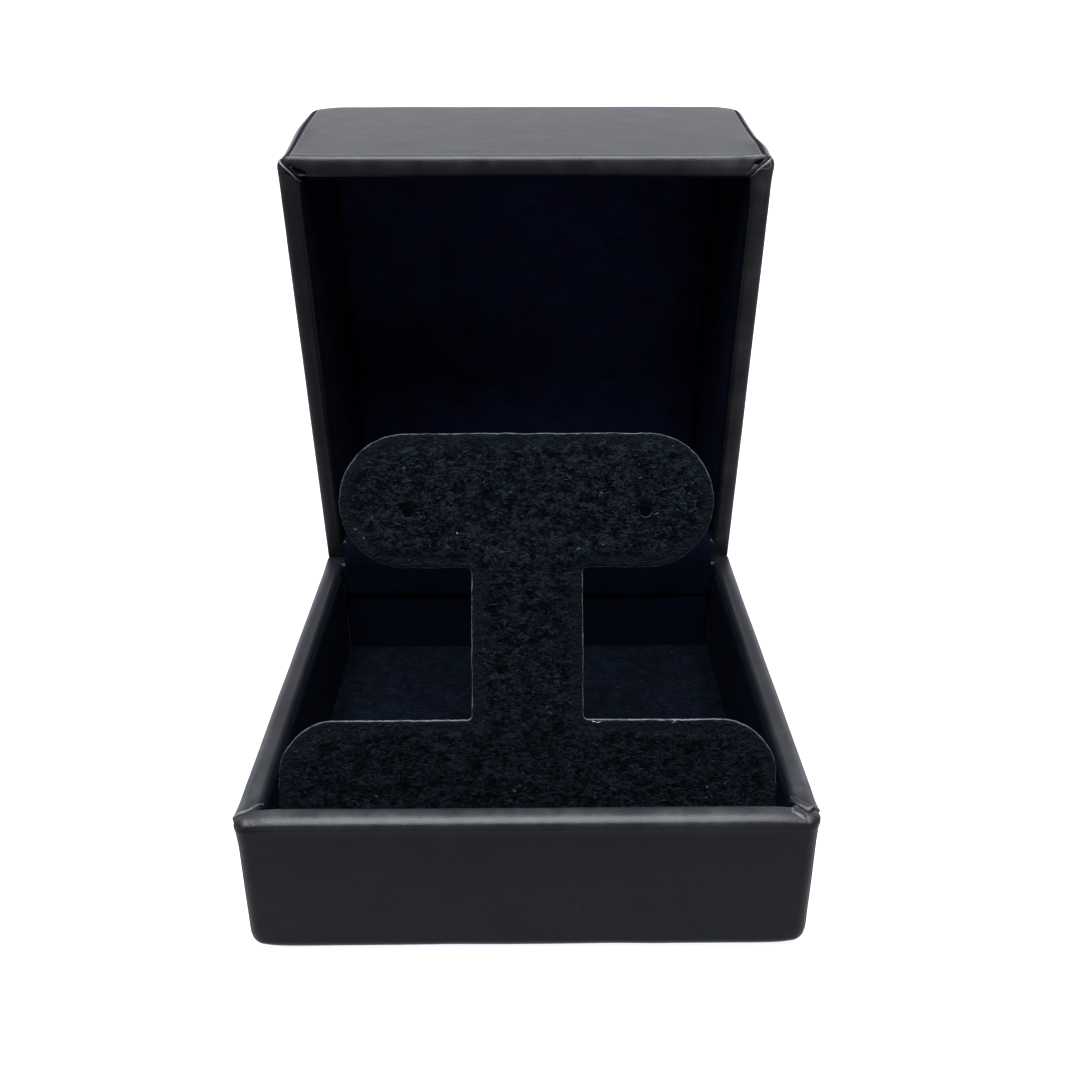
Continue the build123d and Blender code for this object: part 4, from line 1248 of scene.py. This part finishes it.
def crease_mesh():
    """Velvet fold from the floor panel's front edge up to the card's foot."""
    y0 = FOOT_Y
    pts_out = [(1.0, 3.90), (0.4, 3.88), (0.0, 3.92), (-0.16, 4.1), (-0.22, 4.5), (-0.2, 4.95), (-0.10, 5.3), (-0.043, 5.513)]
    pts_in = [(1.0, 4.15), (0.4, 4.13), (0.12, 4.16), (0.0, 4.3), (-0.03, 4.55), (-0.01, 4.9), (0.06, 5.2), (0.139, 5.43)]
    xs = np.linspace(-31.2, 31.2, 157)
    P, S = len(pts_out), len(xs)
    v = []
    for pts in (pts_out, pts_in):
        for (y, z) in pts:
            base = np.stack([xs, np.full(S, y0 + y), np.full(S, z)], 1)
            base[:, 1] += 0.02 * noise(base, 0.8, 700)
            v.append(base)
    v = np.concatenate(v)
    N = P * S
    faces = []
    for i in range(P - 1):
        for s in range(S - 1):
            a, b, c, d = i * S + s, i * S + s + 1, (i + 1) * S + s + 1, (i + 1) * S + s
            faces += [(a, b, c, d), (a + N, d + N, c + N, b + N)]
    for s in range(S - 1):
        for p, q in ((s, s + 1), ((P - 1) * S + s + 1, (P - 1) * S + s)):
            faces.append((q, p, p + N, q + N))
    for i in range(P - 1):
        for p, q in (((i + 1) * S, i * S), (i * S + S - 1, (i + 1) * S + S - 1)):
            faces.append((q, p, p + N, q + N))
    return make("velvet_card_crease", v, faces, M_FLOOR_V)


crease = crease_mesh()


# ---------------------------------------------------------------------------
# materials for the CAD nodes that stay visible
# ---------------------------------------------------------------------------
def dress(name, mat):
    ob = NODES[name]
    ob.data.materials.clear()
    ob.data.materials.append(mat)


for n in ("base_shell", "lid_shell"):
    dress(n, M_PLASTIC)
dress("base_bottom_sheet", M_SHEET)
for n in ("floor_spacer", "lid_pad_board"):
    dress(n, M_BOARD)
for n in ("hinge_leaf_base", "hinge_leaf_lid", "hinge_rivets_base", "hinge_rivets_lid", "hinge_pin", "hinge_springs"):
    dress(n, M_STEEL)

# ---------------------------------------------------------------------------
# bodies, replaced nodes, material slots, soft pieces
# ---------------------------------------------------------------------------
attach(base_wrap, "base")
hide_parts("base_wrap")
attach(lid_wrap, "lid")
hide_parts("lid_wrap")

for (ob, a, b), cad in zip(base_liners, ("base_liner_left", "base_liner_right", "base_liner_front", "base_liner_back")):
    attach(ob, "base")
    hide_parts(cad)
# the lid's flap takes the darker painted-shade copy, its sides the lighter painted copy
lid_liners[3][0].data.materials[0] = M_VELVET_FLAP_SHADED
for k in (0, 1):
    lid_liners[k][0].data.materials[0] = M_VELVET_SIDE_LIT
for (ob, a, b), cad in zip(lid_liners, ("lid_liner_right", "lid_liner_left", "lid_liner_front", "lid_liner_back")):
    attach(ob, "lid")
    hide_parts(cad)

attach(panel, "base")
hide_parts("floor_panel")

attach(lid_pad, "lid")
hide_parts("lid_pad")

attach(card_board, "card")
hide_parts("card_core")
for ob, cad in ((card_front, "card_velvet_front"), (card_back, "card_velvet_back")):
    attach(ob, "card")
    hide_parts(cad)
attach(card_pile, "card")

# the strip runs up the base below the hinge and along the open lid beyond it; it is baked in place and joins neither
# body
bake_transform(strip)
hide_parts("hinge_cover_strip")

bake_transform(crease)
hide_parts("card_crease")

# ---------------------------------------------------------------------------
# floor, light and camera
# ---------------------------------------------------------------------------
def stage_floor():
    me = bpy.data.meshes.new("floor")
    xs = 1.6
    prof = [(-1.2, 0.0), (0.45, 0.0)]
    for k in range(1, 17):
        a = math.radians(90 * k / 16)
        prof.append((0.45 + 0.30 * math.sin(a), 0.30 * (1 - math.cos(a))))
    prof.append((0.75, 1.3))
    v, f = [], []
    for y, z in prof:
        v += [(-xs, y, z), (xs, y, z)]
    for i in range(len(prof) - 1):
        f.append((2 * i, 2 * i + 1, 2 * i + 3, 2 * i + 2))
    me.from_pydata(v, [], f)
    me.polygons.foreach_set("use_smooth", [True] * len(me.polygons))
    ob = bpy.data.objects.new("floor", me)
    bpy.context.scene.collection.objects.link(ob)
    m, nt, b = material("floor_paint")
    n = node(nt, "ShaderNodeTexNoise", Scale=6.0, Detail=2.0)
    nt.links.new(coords(nt), n.inputs["Vector"])
    c = ramp(nt, n.outputs["Fac"], [(0.3, (0.080, 0.080, 0.084)), (0.7, (0.092, 0.092, 0.092))])
    b.inputs["Roughness"].default_value = 0.9
    b.inputs["Specular IOR Level"].default_value = 0.1
    # a light table: the sweep itself glows, so no shadow falls on it
    b.inputs["Emission Color"].default_value = (0.98, 1.0, 1.08, 1)
    pos = nt.nodes.new("ShaderNodeSeparateXYZ")
    nt.links.new(coords(nt), pos.inputs[0])
    run = math_node(nt, "ADD", math_node(nt, "MULTIPLY", pos.outputs["Y"], 0.5), 0.5)
    rear = ramp(nt, run, [(0.4575, (0, 0, 0)), (0.472, (0.62,) * 3), (0.60, (0.62,) * 3), (0.75, (1, 1, 1))])
    near = ramp(nt, run, [(0.4575, (0.31,) * 3), (0.472, (0, 0, 0))])
    paint = ramp(nt, run, [(0.4575, (0.5,) * 3), (0.472, (1, 1, 1))])
    nt.links.new(mix_rgb(nt, 1.0, c.outputs["Color"], paint.outputs["Color"], "MULTIPLY"), b.inputs["Base Color"])
    lean = math_node(nt, "ADD", math_node(nt, "MULTIPLY", pos.outputs["X"], 3.0), 1.0)
    lean = math_node(nt, "MINIMUM", math_node(nt, "MAXIMUM", lean, 0.45), 1.8)
    glow = math_node(nt, "ADD", rear.outputs["Color"], math_node(nt, "MULTIPLY", near.outputs["Color"], lean))
    nt.links.new(math_node(nt, "MULTIPLY", glow, 1.5), b.inputs["Emission Strength"])
    me.materials.append(m)


stage_floor()


def area(name, loc, target, size, power, color=(1, 1, 1)):
    li = bpy.data.lights.new(name, "AREA")
    li.shape = "RECTANGLE"
    li.size, li.size_y = size
    li.energy = power
    li.color = color
    ob = bpy.data.objects.new(name, li)
    bpy.context.scene.collection.objects.link(ob)
    d = Vector(target) - Vector(loc)
    ob.location = loc
    ob.rotation_euler = d.to_track_quat("-Z", "Y").to_euler()
    return ob


area("top_soft", (-0.03, -0.125, 0.75), (-0.03, -0.125, 0.0), (0.55, 0.77), 58.0, (0.95, 0.975, 1.0))
area("right_low", (0.19, -0.61, 0.07), (0.03, 0, 0.04), (0.10, 0.10), 0.6, (0.95, 0.975, 1.0))
area("rim_left", (-0.42, 0.37, 0.27), (0, -0.01, 0.02), (0.20, 0.20), 0.8, (0.95, 0.975, 1.0))
area("rim_right", (0.42, 0.37, 0.27), (0, -0.01, 0.02), (0.20, 0.20), 0.8, (0.95, 0.975, 1.0))
area("side_glow", (-0.55, -0.45, 0.22), (0, 0, 0.05), (0.25, 0.35), 0.8, (0.92, 0.96, 1.0))

# room: a bright wall behind the box, a darker room in front of it
world = bpy.data.worlds.new("studio")
bpy.context.scene.world = world
world.use_nodes = True
wnt = world.node_tree
bg = wnt.nodes["Background"]
tc = wnt.nodes.new("ShaderNodeTexCoord")
sep = wnt.nodes.new("ShaderNodeSeparateXYZ")
wnt.links.new(tc.outputs["Generated"], sep.inputs[0])
half = math_node(wnt, "MULTIPLY", sep.outputs["Y"], 0.5)
fac = math_node(wnt, "ADD", half, 0.5)
wr = ramp(wnt, fac, [(0.0, (0.07, 0.075, 0.09)), (0.42, (0.12, 0.13, 0.15)), (0.62, (0.80, 0.84, 0.92)), (1.0, (1.0, 1.0, 1.0))])
wnt.links.new(wr.outputs["Color"], bg.inputs["Color"])
bg.inputs["Strength"].default_value = 1.1

cam_data = bpy.data.cameras.new("camera")
cam = bpy.data.objects.new("camera", cam_data)
bpy.context.scene.collection.objects.link(cam)
F_PX, CY_PX = 1095.56, 508.67
PITCH, YAW, ROLL = math.radians(24.4857), math.radians(-0.4798), math.radians(-0.0508)
cam_data.sensor_width = 36.0
cam_data.sensor_height = 36.0
cam_data.sensor_fit = "HORIZONTAL"
cam_data.lens = F_PX / 1080.0 * 36.0
cam_data.shift_x = 0.0
cam_data.shift_y = (CY_PX - 540.0) / 1080.0
cam_data.clip_start = 0.01
cam_data.clip_end = 10.0
# rows of the world-to-camera turn: right, down, forward
cp, sp = math.cos(PITCH), math.sin(PITCH)
M0 = np.array([[1, 0, 0], [0, -sp, -cp], [0, cp, -sp]])
Yw = np.array([[math.cos(YAW), math.sin(YAW), 0], [-math.sin(YAW), math.cos(YAW), 0], [0, 0, 1]])
Rl = np.array([[math.cos(ROLL), -math.sin(ROLL), 0], [math.sin(ROLL), math.cos(ROLL), 0], [0, 0, 1]])
M = Rl @ M0 @ Yw
rot = np.array([M[0], -M[1], -M[2]]).T
cam.matrix_world = Matrix.Translation((0.623 * MM, -136.884 * MM, 107.876 * MM)) @ Matrix(rot.tolist()).to_4x4()
bpy.context.scene.camera = cam
bpy.context.scene.view_settings.view_transform = "Standard"
